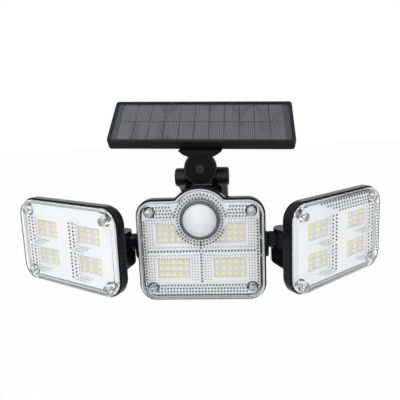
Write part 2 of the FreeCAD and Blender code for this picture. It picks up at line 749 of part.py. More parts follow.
def board_screws(head):
    """The flat screws of the light board, and in the centre head those of the control board."""
    seat = value("%s + size.board_back" % head.rim)
    solids = [screw(value(x), seat, value(z), 2.4, 0.5, 1.2, 8) for x, z in head.posts()]
    if not head.side:
        seat = value("size.control_back")
        solids += [screw(value(x), seat, value(z), 2.2, 1.2, 1, 5) for x, z in CONTROL_POSTS]
    group(head.name + "_board_screws", head.frame, solids)


# The centre head's own pieces


def centre_housing():
    """The back shell with its battery bulge, two hinge lugs and two arm sockets."""
    body = new_body("centre_housing", LAMP)
    shell(CENTRE, body)
    down = "-size.pack_down"
    bulge = CENTRE.sketch(body, "bulge", "size.lamp_deep - size.wall_thick / 2")
    rounded_rectangle(bulge, "size.pack_wide", "size.pack_tall", "7", "0", down)
    pad(body, bulge, "size.pack_deep - size.lamp_deep + size.wall_thick / 2", backward=True)
    fillet(body, "bulge_edge", "4.5", flat_at("Y", value("size.pack_deep")))
    chamber = CENTRE.sketch(body, "chamber", "size.lamp_deep - size.wall_thick")
    rounded_rectangle(chamber, "size.pack_wide - 5", "size.pack_tall - 5", "4.5", "0", down)
    pocket(body, chamber, "size.pack_deep - size.lamp_deep")
    hinge_lugs(body)
    arm_sockets(body)
    add_posts(CENTRE, body)
    button_hole(body)


def hinge_lugs(body):
    """Two lugs that rise from the back of the shell to the hinge bolt."""
    for side, start in ((1, "size.lug_inner"), (-1, "-size.lug_outer")):
        stem = new_sketch(body, "stem_%d" % (side + 1), "YZ_Plane", start)
        back = "size.lamp_deep - size.wall_thick / 2"
        polygon(stem, (
            ("size.bolt_back - 5", "size.bolt_up"),
            ("size.bolt_back - 5", "size.bolt_up - 9"),
            ("size.lamp_deep + 4", "size.lamp_tall / 2 - 7"),
            (back, "size.lamp_tall / 2 - 8"),
            (back, "14"),
            ("size.lamp_deep + 5", "14"),
            ("size.bolt_back + 6.5", "size.bolt_up - 13"),
            ("size.bolt_back + 6.5", "size.bolt_up"),
        ))
        pad(body, stem, "size.lug_outer - size.lug_inner")
        eye = new_sketch(body, "eye_%d" % (side + 1), "YZ_Plane", start)
        circle(eye, "size.bolt_back", "size.bolt_up", "size.lug_radius")
        pad(body, eye, "size.lug_outer - size.lug_inner")
    bore = new_sketch(body, "lug_bore", "YZ_Plane", "-size.lug_outer - 1")
    circle(bore, "size.bolt_back", "size.bolt_up", "size.bolt_radius + size.running_gap")
    pocket(body, bore, "2 * size.lug_outer + 2", forward=True)


def arm_sockets(body):
    """Upright oval bosses on both sides, bored for the arms' spigots."""
    for side in (1, -1):
        start = "50" if side > 0 else "-size.socket_face"
        boss = new_sketch(body, "socket_%d" % (side + 1), "YZ_Plane", start)
        rounded_rectangle(boss, "16", "23", "7.8", "size.swing_back", "size.arm_up - 4.1")
        pad(body, boss, "size.socket_face - 50")
        fillet(body, "socket_round_%d" % (side + 1), "1.2",
               flat_at("X", side * value("size.socket_face")))
        bore = new_sketch(body, "socket_bore_%d" % (side + 1), "YZ_Plane",
                          "%d * (size.socket_face + 1)" % side)
        circle(bore, "size.swing_back", "size.arm_up", "size.spigot_radius + size.running_gap")
        pocket(body, bore, "size.socket_face - 48", forward=side < 0)


def button_hole(body):
    """The guide of the power button in the bottom wall, with a raised collar."""
    collar = new_sketch(body, "button_collar", "XY_Plane", "4 - size.lamp_tall / 2")
    circle(collar, "0", "size.button_back", "6.2")
    pad(body, collar, "3.6", backward=True)
    hole = new_sketch(body, "button_bore", "XY_Plane", "8 - size.lamp_tall / 2")
    circle(hole, "0", "size.button_back", "4.3")
    pocket(body, hole, "10")


def power_button():
    """A domed push button that slides in the bottom wall."""
    body = new_body("power_button", LAMP)
    stem = new_sketch(body, "stem", "XY_Plane", "-size.lamp_tall / 2 - 0.9")
    circle(stem, "0", "size.button_back", "4")
    pad(body, stem, "8")
    fillet(body, "cap_round", "1.2", flat_at("Z", value("-size.lamp_tall / 2 - 0.9")))
    flange = new_sketch(body, "flange", "XY_Plane", "4.4 - size.lamp_tall / 2")
    circle(flange, "0", "size.button_back", "4.8")
    pad(body, flange, "1.2")


def power_switch():
    """The switch that the button presses, with its little board."""
    roof = "-size.pack_down - 10.5"
    plate = primitive("Box", "switch_plate", LAMP + " * " + at("-7", "8.6", roof + " - 1.2"),
                      Length="14", Width="8", Height="1.2")
    block = primitive("Box", "switch_block", LAMP + " * " + at("-3", "7.4", roof + " - 4.1"),
                      Length="6", Width="6", Height="2.9")
    plunger = primitive("Cylinder", "switch_plunger", LAMP + " * " + at("0", "size.button_back", roof + " - 5.2"),
                        Radius="1.6", Height="1.1")
    finish(fuse("power_switch", plate, block, plunger), "power_switch")


def sensor_dome():
    """The milky dome over the motion sensor, with a wider foot behind the ring's lip."""
    here = LAMP + " * " + at("0", "0", "size.bump_up", X_WAY, "90")
    neck = "sqrt(size.dome_radius * size.dome_radius - size.dome_start * size.dome_start)"
    foot = "0.2 - size.board_back"
    lip = "size.bezel_front - size.lip_thick - 0.1"
    cap = primitive("Sphere", "dome_cap", here, Radius="size.dome_radius",
                    Angle1="asin(size.dome_start / size.dome_radius)")
    skirt = primitive("Cylinder", "dome_skirt", here + " * " + at(z=foot), Radius=neck,
                      Height="size.dome_start - (%s)" % foot)
    flange = primitive("Cylinder", "dome_foot", here + " * " + at(z=foot), Radius="size.dome_foot",
                       Height="%s - (%s)" % (lip, foot))
    inner = primitive("Sphere", "dome_inner", here, Radius="size.dome_radius - size.dome_wall",
                      Angle1="26.5")
    bore = primitive("Cylinder", "dome_bore", here + " * " + at(z="-size.board_back"),
                     Radius="(size.dome_radius - size.dome_wall) * cos(26.5)",
                     Height="size.board_back + (size.dome_radius - size.dome_wall) * sin(26.5)")
    finish(cut("pir_dome", fuse("dome_full", cap, skirt, flange), fuse("dome_room", inner, bore)),
           "pir_dome")


def sensor_bezel():
    """The ring round the dome, with a lip in front of the dome's foot and a flange behind."""
    body = new_body("pir_bezel", LAMP)
    rear = "(size.board_back - 0.1)"
    ring = CENTRE.sketch(body, "ring", rear)
    circle(ring, "0", "size.bump_up", "size.bezel_radius")
    pad(body, ring, rear + " + size.bezel_front")
    fillet(body, "bezel_edge", "1.2", flat_at("Y", -value("size.bezel_front")))
    flange = CENTRE.sketch(body, "flange", rear)
    circle(flange, "0", "size.bump_up", "size.bezel_radius + 1.6")
    pad(body, flange, "size.bezel_flange")
    seat = CENTRE.sketch(body, "seat", rear)
    circle(seat, "0", "size.bump_up", "size.dome_foot + 0.1")
    pocket(body, seat, rear + " + size.bezel_front - size.lip_thick", forward=True)
    eye = CENTRE.sketch(body, "eye", "0")
    circle(eye, "0", "size.bump_up", "size.dome_foot - 1.1")
    pocket(body, eye, "0", through=True)


def motion_sensor():
    """The heat sensor's metal can on the control board."""
    here = LAMP + " * " + at("0", "size.control_back", "size.bump_up", X_WAY, "90")
    can = primitive("Cylinder", "can", here, Radius="4.2", Height="4.4")
    brim = primitive("Cylinder", "brim", here, Radius="4.6", Height="0.5")
    finish(fuse("pir_sensor", can, brim), "pir_sensor")


def control_board():
    """The control board with its chips and capacitor."""
    here = LAMP + " * " + at("-21", "size.control_back", "10")
    plate = primitive("Box", "control_plate", here, Length="42", Width="1.6", Height="31")
    chips = []
    for number, (x, z, wide, deep, tall) in enumerate((
            (10, 9, 7, 1.6, 7), (24, 10, 8, 1.8, 6), (29, 19, 6, 5, 4), (8, 18, 6, 5, 6))):
        chips.append(primitive("Box", "chip_%d" % number, here + " * " + at(str(x), "1.6", str(z)),
                               Length=wide, Width=deep, Height=tall))
    holes = []
    for number, (x, z) in enumerate(CONTROL_POSTS):
        spot = LAMP + " * " + at(x, "size.control_back - 1", z, X_WAY, "-90")
        holes.append(primitive("Cylinder", "control_hole_%d" % number, spot, Radius="1.2", Height="4"))
    finish(cut("control_board", fuse("control_full", plate, *chips), fuse("control_holes", *holes)),
           "control_board")


def battery():
    """The round cell and the moulded cradle that holds it in the bulge."""
    here = LAMP + " * " + at("0", "size.cell_back", "-size.pack_down", Y_WAY, "90")
    can = primitive("Cylinder", "cell_can", here + " * " + at(z="-size.cell_long / 2"),
                    Radius="size.cell_radius", Height="size.cell_long - 1")
    button = primitive("Cylinder", "cell_button", here + " * " + at(z="size.cell_long / 2 - 1"),
                       Radius="3", Height="1")
    finish(fuse("battery_cell", can, button), "battery_cell")
    body = new_body("battery_cradle", LAMP)
    block = CENTRE.sketch(body, "block", "8.5")
    rounded_rectangle(block, "71.5", "21", "4", "0", "-size.pack_down")
    pad(body, block, "size.pack_deep - size.wall_thick - 8.5", backward=True)
    groove = new_sketch(body, "groove", "YZ_Plane", "-size.cell_long / 2 - 0.3")
    circle(groove, "size.cell_back", "-size.pack_down", "size.cell_radius + 0.15")
    pocket(body, groove, "size.cell_long + 0.6", forward=True)
    mouth = CENTRE.sketch(body, "mouth", "8.5")
    rounded_rectangle(mouth, "65.6", "18.3", "0.5", "0", "-size.pack_down")
    pocket(body, mouth, "8.3")


# Arms and side heads


def arm(name, side):
    """A short arm: spigot in the centre housing, shaft, and an upright barrel."""
    body = new_body(name + "_arm", swing_frame(side))
    shoulder = "(size.swing_across - size.socket_face - 0.2)"
    shaft = new_sketch(body, "shaft", "YZ_Plane")
    circle(shaft, "0", "size.arm_up", "size.arm_radius")
    pad(body, shaft, shoulder, backward=side > 0)
    spigot = new_sketch(body, "spigot", "YZ_Plane", "-%d * %s" % (side, shoulder))
    circle(spigot, "0", "size.arm_up", "size.spigot_radius")
    pad(body, spigot, "size.socket_face - 46.6", backward=side > 0)
    barrel = new_sketch(body, "barrel", "XY_Plane", "size.barrel_foot")
    circle(barrel, "0", "0", "size.barrel_radius")
    pad(body, barrel, "size.barrel_top - size.barrel_foot")
    groove = new_sketch(body, "seal_groove", "YZ_Plane", "-%d * %s" % (side, shoulder))
    circle(groove, "0", "size.arm_up", "6.25")
    circle(groove, "0", "size.arm_up", "4.95")
    pocket(body, groove, "1.1", forward=side > 0)
    bore = new_sketch(body, "pin_bore", "XY_Plane", "size.barrel_foot - 1")
    circle(bore, "0", "0", "size.pin_radius + size.running_gap")
    pocket(body, bore, "size.barrel_top - size.barrel_foot + 2", forward=True)
    wires = new_sketch(body, "wire_way", "YZ_Plane", "-%d * (%s + 14)" % (side, shoulder))
    circle(wires, "0", "size.arm_up", "2")
    pocket(body, wires, "%s + 8" % shoulder, forward=side > 0)


def arm_trim(name, side):
    """The seal under the arm's shoulder and the ring that keeps its spigot in the socket."""
    face = "-%d * (size.swing_across - size.socket_face - 0.2)" % side
    along = swing_frame(side) + " * " + at("%s + %d * 0.45" % (face, side), "0", "size.arm_up", Y_WAY, "90")
    finish(primitive("Torus", name + "_arm_seal", along, Radius1="5.6", Radius2="0.55"),
           name + "_arm_seal")
    inside = "%d * (49.8 - size.swing_across) - %s" % (side, "2.2" if side > 0 else "0")
    here = swing_frame(side) + " * " + at(inside, "0", "size.arm_up", Y_WAY, "90")
    disc = primitive("Cylinder", name + "_ring_disc", here, Radius="6.6", Height="2.2")
    hole = primitive("Cylinder", name + "_ring_hole", here + " * " + at(z="-1"),
                     Radius="size.spigot_radius + 0.02", Height="5")
    finish(cut(name + "_arm_ring", disc, hole), name + "_arm_ring")


def side_housing(head):
    """A side head's back shell with the yoke that holds the arm's barrel."""
    body = new_body(head.name + "_housing", head.frame)
    shell(head, body)
    add_posts(head, body)
    back = "size.side_deep - size.side_reach - size.wall_thick / 2"
    foot = "size.barrel_foot - size.yoke_gap"
    lower = new_sketch(body, "lower_lug", "YZ_Plane")
    polygon(lower, (
        ("size.yoke_radius", foot), (back, foot), (back, "-20.5"), ("4", "-14"),
        ("size.yoke_radius", "-11.5"),
    ))
    pad(body, lower, "2 * size.yoke_radius", both=True)
    fillet(body, "yoke_round", "size.yoke_radius - 1.2", yoke_corner)
    upper = new_sketch(body, "upper_lug", "XY_Plane", "size.barrel_top + size.yoke_gap")
    circle(upper, "0", "0", "size.barrel_radius")
    pad(body, upper, "size.yoke_plate")
    bridge = new_sketch(body, "upper_bridge", "XY_Plane", "size.barrel_top + size.yoke_gap")
    polygon(bridge, (
        ("-size.barrel_radius", "0"), ("-size.barrel_radius", back),
        ("size.barrel_radius", back), ("size.barrel_radius", "0"),
    ))
    pad(body, bridge, "size.yoke_plate")
    bore = new_sketch(body, "yoke_bore", "XY_Plane", "-22")
    circle(bore, "0", "0", "size.pin_radius + 0.02")
    pocket(body, bore, "22 + size.barrel_top + size.yoke_gap + 1.8", forward=True)
    seat = new_sketch(body, "pin_seat", "XY_Plane", "-22")
    circle(seat, "0", "0", "4.6")
    pocket(body, seat, "11", forward=True)


def yoke_corner(edge):
    """Picks the upright edges at the free end of the lower yoke lug."""
    box = edge.BoundBox
    far = value("size.yoke_radius")
    upright = box.ZMax - box.ZMin > 5 and box.XMax - box.XMin < 0.01 and box.YMax - box.YMin < 0.01
    return upright and abs(box.YMin - far) < 0.01


def hinge_pin(head):
    """The pin that the side head swings on, put in from below."""
    here = head.frame + " * " + at(z="-11")
    top = "11 + size.barrel_top + size.yoke_gap + 1.6"
    shank = primitive("Cylinder", head.name + "_pin_shank", here, Radius="size.pin_radius", Height=top)
    knob = primitive("Cylinder", head.name + "_pin_head", head.frame + " * " + at(z="-13.4"),
                     Radius="4.3", Height="2.4")
    finish(fuse(head.name + "_hinge_pin", shank, knob), head.name + "_hinge_pin")


# Panel knuckle and solar panel


def knuckle():
    """The block on the hinge bolt whose barrel carries the panel's foot."""
    body = new_body("panel_knuckle", BOLT)
    up = "size.roll_up - size.bolt_up"
    rear = "size.bolt_back - size.roll_back - size.knuckle_long"
    barrel = new_sketch(body, "barrel", offset=rear)
    circle(barrel, "0", up, "size.knuckle_radius")
    pad(body, barrel, "size.knuckle_long")
    fillet(body, "barrel_round", "1.2", flat_at("Y", -value(rear)))
    tongue = new_sketch(body, "tongue", "YZ_Plane")
    polygon(tongue, (
        ("-11", "21"), ("-4.5", "19"), ("size.tongue_radius - 1.1", "4.1"),
        ("-3.5", "-7.5"), ("-11", "-0.4"),
    ))
    pad(body, tongue, "2 * size.tongue_half", both=True)
    eye = new_sketch(body, "eye", "YZ_Plane")
    circle(eye, "0", "0", "size.tongue_radius")
    pad(body, eye, "2 * size.tongue_half", both=True)
    bore = new_sketch(body, "bore", "YZ_Plane")
    circle(bore, "0", "0", "size.bolt_radius + size.running_gap")
    pocket(body, bore, "0", through=True)
    front = "size.bolt_back - size.roll_back"
    nest = new_sketch(body, "insert_nest", offset=front)
    circle(nest, "0", up, "3.7")
    pocket(body, nest, "8")
    relief = new_sketch(body, "screw_way", offset=front)
    circle(relief, "0", up, "2.7")
    pocket(body, relief, "11")


def knuckle_insert():
    """The threaded brass insert in the knuckle's barrel."""
    here = at("0", "size.roll_back + 8 - size.stand_off", "size.roll_up - size.lamp_drop", X_WAY, "90")
    sleeve = primitive("Cylinder", "insert_sleeve", here, Radius="3.68", Height="7.5")
    hole = primitive("Cylinder", "insert_hole", here + " * " + at(z="-1"),
                     Radius="2.5 + size.running_gap", Height="10")
    finish(cut("knuckle_insert", sleeve, hole), "knuckle_insert")


def roll_screw():
    """The socket screw through the disc's middle, and the washer behind the disc."""
    front = value("-size.disc_gap - size.disc_thick")
    body = Part.makeCylinder(3.9, 3.4, VECTOR(0, front + 0.4, 0), VECTOR(0, 1, 0))
    shank = Part.makeCylinder(2.5, 12, VECTOR(0, front + 3.8, 0), VECTOR(0, 1, 0))
    socket = Part.makeCylinder(2.1, 2, VECTOR(0, front + 0.4, 0), VECTOR(0, 1, 0))
    group("roll_screw", ROLL, [body.fuse(shank).removeSplitter().cut(socket)])
    disc = Part.makeCylinder(9, 0.3, VECTOR(0, -0.45, 0), VECTOR(0, 1, 0))
    hole = Part.makeCylinder(2.65, 1, VECTOR(0, -0.8, 0), VECTOR(0, 1, 0))
    group("roll_washer", ROLL, [disc.cut(hole)])


FOOT_SCREWS = ((-10, -6), (10, -6), (-10, 6), (10, 6))


def under_panel(along, below="0"):
    """A point of the panel's underside in the roll frame, at a distance up its slope."""
    down = "(size.panel_thick + %s)" % below
    return ("size.panel_back + (%s) * cos(size.panel_slope) + %s * sin(size.panel_slope)" % (along, down),
            "size.panel_up + (%s) * sin(size.panel_slope) - %s * cos(size.panel_slope)" % (along, down))


def panel_foot():
    """The foot under the panel: a boat-shaped block that runs forward over the barrel to a disc."""
    body = new_body("panel_foot", ROLL)
    side = new_sketch(body, "side", "YZ_Plane")
    polygon(side, (
        ("-5.1", "9.5"), ("-4.6", "14.2"), ("-2.5", "size.crown_up"), ("6", "size.crown_up"),
        under_panel("0.2 - size.panel_long / 2"), under_panel("1.6"), under_panel("1.6", "6.5"),
        ("17.5", "13"), ("-0.5", "9.5"),
    ))
    pad(body, side, "size.foot_wide", both=True)
    flanks = new_sketch(body, "flanks")
    for sign in (1, -1):
        polygon(flanks, (
            ("%d * 9" % sign, "9.9"), ("%d * 14.5" % sign, "12.2"), ("%d * 18.6" % sign, "15.1"),
            ("%d * 20.5" % sign, "17.6"), ("%d * 20.5" % sign, "5"), ("%d * 9" % sign, "5"),
        ))
    pocket(body, flanks, "0", through=True)
    front = "size.disc_gap + size.disc_thick"
    disc = new_sketch(body, "disc", offset="size.disc_gap")
    circle(disc, "0", "0", "size.disc_radius")
    pad(body, disc, "size.disc_thick")
    fillet(body, "disc_round", "0.7", flat_at("Y", -value(front)))
    for name, radius, depth in (("barrel_room", "size.knuckle_radius + 0.3", "size.knuckle_long + 0.9"),
                                ("tongue_room", "14.3", "16")):
        room = new_sketch(body, name, offset="size.disc_gap")
        circle(room, "0", "0", radius)
        pocket(body, room, depth)
    hole = new_sketch(body, "screw_hole", offset=front)
    circle(hole, "0", "0", "2.6")
    pocket(body, hole, "size.disc_thick")
    seat = new_sketch(body, "screw_seat", offset=front)
    circle(seat, "0", "0", "4.1")
    pocket(body, seat, "3.8")
    under = SLOPE_IN_ROLL + " * " + at("0", "-size.foot_forward", "-size.panel_thick")
    pilots = new_sketch(body, "pilots", "XY_Plane", turned=under)
    for x, y in FOOT_SCREWS:
        circle(pilots, str(x), str(y), "1.5")
    pocket(body, pilots, "5.5")


def panel_frame():
    """The black tray of the solar panel."""
    body = new_body("panel_frame", SLOPE)
    outer = new_sketch(body, "outer", "XY_Plane")
    rounded_rectangle(outer, "size.panel_wide", "size.panel_long", "size.panel_corner")
    pad(body, outer, "size.panel_thick", backward=True)
    fillet(body, "under_edge", "1.6", flat_at("Z", -value("size.panel_thick")))
    fillet(body, "top_edge", "0.6", flat_at("Z", 0))
    ledge = new_sketch(body, "ledge", "XY_Plane")
    rounded_rectangle(ledge, less("size.panel_wide", "2 * size.rim_wide"),
                      less("size.panel_long", "2 * size.rim_wide"), "0.8")
    pocket(body, ledge, "3")
    room = new_sketch(body, "room", "XY_Plane")
    rounded_rectangle(room, less("size.panel_wide", "2 * size.rim_wide + 6"),
                      less("size.panel_long", "2 * size.rim_wide + 6"), "1")
    pocket(body, room, "size.panel_thick - 2")
    holes = new_sketch(body, "holes", "XY_Plane", turned=at("0", "-size.foot_forward", "0"))
    for x, y in FOOT_SCREWS:
        circle(holes, str(x), str(y), "1.7")
    pocket(body, holes, "0", through=True)


def laminate():
    """Backing sheet, solar cells and glass, one on the other in the tray."""
    edge = "(2 * size.rim_wide + 2 * size.laminate_gap)"
    wide, long = "(size.panel_wide - %s)" % edge, "(size.panel_long - %s)" % edge
    for name, foot, thick in (("panel_backing", "-3", "1.2"), ("panel_glass", "-1.5", "0.9")):
        here = SLOPE + " * " + at("-%s / 2" % wide, "-%s / 2" % long, foot)
        finish(primitive("Box", name, here, Length=wide, Width=long, Height=thick), name)
    columns, rows, gap = 11, 2, 0.8
    field_wide, field_long = value(wide) - 11, value(long) - 1.2
    step_x, step_y = field_wide / columns, field_long / rows
    cells = []
    for column in range(columns):
        for row in range(rows):
            corner = VECTOR(-field_wide / 2 + column * step_x + gap / 2,
                            -field_long / 2 + row * step_y + gap / 2, -1.8)
            cells.append(Part.makeBox(step_x - gap, step_y - gap, 0.3, corner))
    group("solar_cells", SLOPE, cells)


def foot_screws():
    floor = -value("size.panel_thick") + 2
    solids = []
    for x, y in FOOT_SCREWS:
        spot = VECTOR(x, y - value("size.foot_forward"), floor)
        head = Part.makeCylinder(2.9, 1.8, spot)
        shank = Part.makeCylinder(1.4, 7, spot, VECTOR(0, 0, -1))
        solids.append(head.fuse(shank).removeSplitter())
    group("panel_foot_screws", SLOPE, solids)


def write_parts():
    """Checks every object and sub-part, then writes one file per sub-part."""
    doc.recompute()
    for item in doc.Objects:
        if "Invalid" in item.State or "Error" in item.State:
            raise RuntimeError("%s is %s" % (item.Name, item.State))
    os.makedirs(FOLDER, exist_ok=True)
    for item in sub_parts:
        shape = item.Shape
        if shape.isNull() or not shape.isValid() or not shape.Solids:
            raise RuntimeError("%s has no valid solid" % item.Label)
        shape.exportStep(os.path.join(FOLDER, item.Label + ".step"))
    print("%d sub-parts written" % len(sub_parts))


def main():
    wall_bracket()
    hinge_bolt()
    centre_housing()
    power_button()
    power_switch()
    sensor_dome()
    sensor_bezel()
    motion_sensor()
    control_board()
    battery()
    for head in HEADS:
        gasket(head)
        lens(head)
        reflector(head)
        board(head)
        lights(head)
        lens_screws(head)
        board_screws(head)
    for name, side, head in (("left", -1, LEFT), ("right", 1, RIGHT)):
        arm(name, side)
        arm_trim(name, side)
        side_housing(head)
        hinge_pin(head)
    knuckle()
    knuckle_insert()
    panel_foot()
    panel_frame()
    laminate()
    foot_screws()
    roll_screw()
    write_parts()


main()
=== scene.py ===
"""Looks of the motion sensor security light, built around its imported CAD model.

Lengths in the code are millimetres times MM, and the stage's places are metres. A lamp head's
pieces are modelled in the head's own frame, x across, y to the back and z up, and then put in place.
"""

import json
import math

import bpy
from bpy.props import FloatProperty, FloatVectorProperty, IntProperty, PointerProperty
from mathutils import Matrix, Vector


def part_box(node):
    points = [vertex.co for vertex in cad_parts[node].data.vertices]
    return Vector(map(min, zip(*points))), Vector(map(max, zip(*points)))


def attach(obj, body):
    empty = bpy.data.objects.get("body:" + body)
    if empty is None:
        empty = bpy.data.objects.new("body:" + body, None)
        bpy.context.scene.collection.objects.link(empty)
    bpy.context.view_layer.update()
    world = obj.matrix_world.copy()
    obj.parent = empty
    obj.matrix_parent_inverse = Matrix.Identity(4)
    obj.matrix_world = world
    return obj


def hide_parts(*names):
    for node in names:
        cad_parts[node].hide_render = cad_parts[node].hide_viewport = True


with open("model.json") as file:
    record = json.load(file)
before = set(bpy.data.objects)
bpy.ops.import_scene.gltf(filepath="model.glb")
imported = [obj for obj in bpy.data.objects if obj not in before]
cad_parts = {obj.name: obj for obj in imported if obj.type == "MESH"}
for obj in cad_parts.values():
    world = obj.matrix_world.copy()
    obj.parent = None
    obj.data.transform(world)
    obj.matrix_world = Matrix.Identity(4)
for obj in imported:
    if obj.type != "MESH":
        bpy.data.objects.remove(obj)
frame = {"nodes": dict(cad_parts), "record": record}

bl_info = {
    "name": "Security Light",
    "version": (1, 0, 0),
    "blender": (4, 5, 0),
    "location": "3D View > Sidebar > Security Light",
    "description": "Finishes, lens prisms, emitters and screws of a motion sensor security light",
    "category": "Object",
}

MM = 0.001

# Sizes of the lamp heads that the CAD fixes, in millimetres. Depths count from a head's rim.
LENS_FRONT = -6.0
LENS_INNER = -4.2
SCREW_SEAT = 1.7  # how deep a lens screw's head sits in the lens
BOARD_FRONT = 2.0
BAND_DEEP = 7.0  # end of a side housing's straight band
CAD_DEEP = 20.0  # back of a side housing in the CAD
SENSOR_UP = 28.2  # the sensor above the centre head's middle
SENSOR_RING = 17.2
BUMP_RADIUS = 27.9

# How far the white inside of a housing reaches, in millimetres.
RIM_WALL = 1.9
WHITE_DEEP = 6.0
POST_REACH = 5.2  # from a lens screw's middle
SEAL_BLACK = 2.6  # from the housing's outline to the pale part of the seal


# Sizes and colours that a user would change


def length(name, description, millimetres):
    return FloatProperty(name=name, description=description, default=millimetres * MM,
                         min=0.0, precision=5, unit="LENGTH")


def colour(name, description, *value):
    return FloatVectorProperty(name=name, description=description, default=value,
                               size=3, min=0.0, max=1.0, subtype="COLOR")


class LensSizes(bpy.types.PropertyGroup):
    """Sizes of the prism dots moulded on the inside of the clear lenses."""

    pitch: length("Prism pitch", "Distance from one large prism dot to the next", 2.8)
    fine_pitch: length("Fine pitch", "Distance between the small dots round a window", 2.4)
    bold_wide: length("Bold width", "Diameter of a dot in the lines between the windows", 2.0)
    dot_wide: length("Prism width", "Diameter of a large prism dot", 1.8)
    fine_wide: length("Fine width", "Diameter of a small dot", 1.0)
    dot_high: length("Prism height", "How far a dot stands out of the lens", 0.55)


class FittingSizes(bpy.types.PropertyGroup):
    """Sizes of the light emitters and the screws."""

    light_wide: length("Emitter width", "Width of a light emitter", 3.75)
    light_tall: length("Emitter height", "Height of a light emitter", 3.15)
    light_thick: length("Emitter thickness", "Thickness of a light emitter", 0.7)
    light_rim: length("Emitter rim", "White wall round an emitter's yellow face", 0.12)
    shell_deep: length("Side housing depth",
                       "From a side head's rim to the back of its housing", 10.8)
    recess_wide: length("Recess width", "Width of a cross recess from end to end", 3.2)
    recess_slot: length("Recess slot", "Width of one slot of the cross recess", 0.75)
    screw_sides: IntProperty(name="Screw sides", description="Sides of a screw head's circle",
                             default=28, min=8, max=64)


class LightColours(bpy.types.PropertyGroup):
    """Colours of the finishes."""

    shell: colour("Housing", "Black gloss of the housings and the knuckle", 0.005, 0.005, 0.006)
    bracket: colour("Bracket", "Black satin of the wall bracket", 0.006, 0.006, 0.007)
    reflector: colour("Reflector", "White of the reflector trays", 0.88, 0.88, 0.88)
    board: colour("Light board", "Lilac white of the light boards", 0.68, 0.65, 0.72)
    phosphor: colour("Phosphor", "Yellow face of a light emitter", 0.78, 0.80, 0.40)
    dome: colour("Sensor dome", "Milky plastic of the sensor dome", 0.74, 0.75, 0.78)
    ring: colour("Sensor ring", "Dark ring round the dome", 0.055, 0.057, 0.062)
    cell: colour("Solar cell", "Dark grey of the solar cells", 0.046, 0.044, 0.052)


class SecurityLight(bpy.types.PropertyGroup):
    """All settings of the light."""

    lens: PointerProperty(type=LensSizes, name="Lens", description="Prism dots of the lenses")
    fitting: PointerProperty(type=FittingSizes, name="Fittings", description="Emitters and screws")
    colours: PointerProperty(type=LightColours, name="Colours",
                             description="Colours of the finishes")


def settings():
    return bpy.context.scene.security_light


# Shader maths


class Wire:
    """One value in a material. Arithmetic on it adds Math nodes."""

    def __init__(self, finish, socket):
        self.finish = finish
        self.socket = socket

    def maths(self, operation, first, second=0.0):
        return self.finish.node("ShaderNodeMath", {"operation": operation}, {0: first, 1: second})

    def __add__(self, other):
        return self.maths("ADD", self, other)

    __radd__ = __add__

    def __mul__(self, other):
        return self.maths("MULTIPLY", self, other)

    __rmul__ = __mul__

    def __sub__(self, other):
        return self.maths("SUBTRACT", self, other)

    def __rsub__(self, other):
        return self.maths("SUBTRACT", other, self)

    def __truediv__(self, other):
        return self.maths("DIVIDE", self, other)

    def __gt__(self, other):
        return self.maths("GREATER_THAN", self, other)

    def __lt__(self, other):
        return self.maths("LESS_THAN", self, other)

    def __pow__(self, other):
        return self.maths("POWER", self, other)

    def __abs__(self):
        return self.maths("ABSOLUTE", self)

    def fraction(self):
        return self.maths("FRACT", self)

    def at_least(self, other):
        return self.maths("MAXIMUM", self, other)

    def at_most(self, other):
        return self.maths("MINIMUM", self, other)


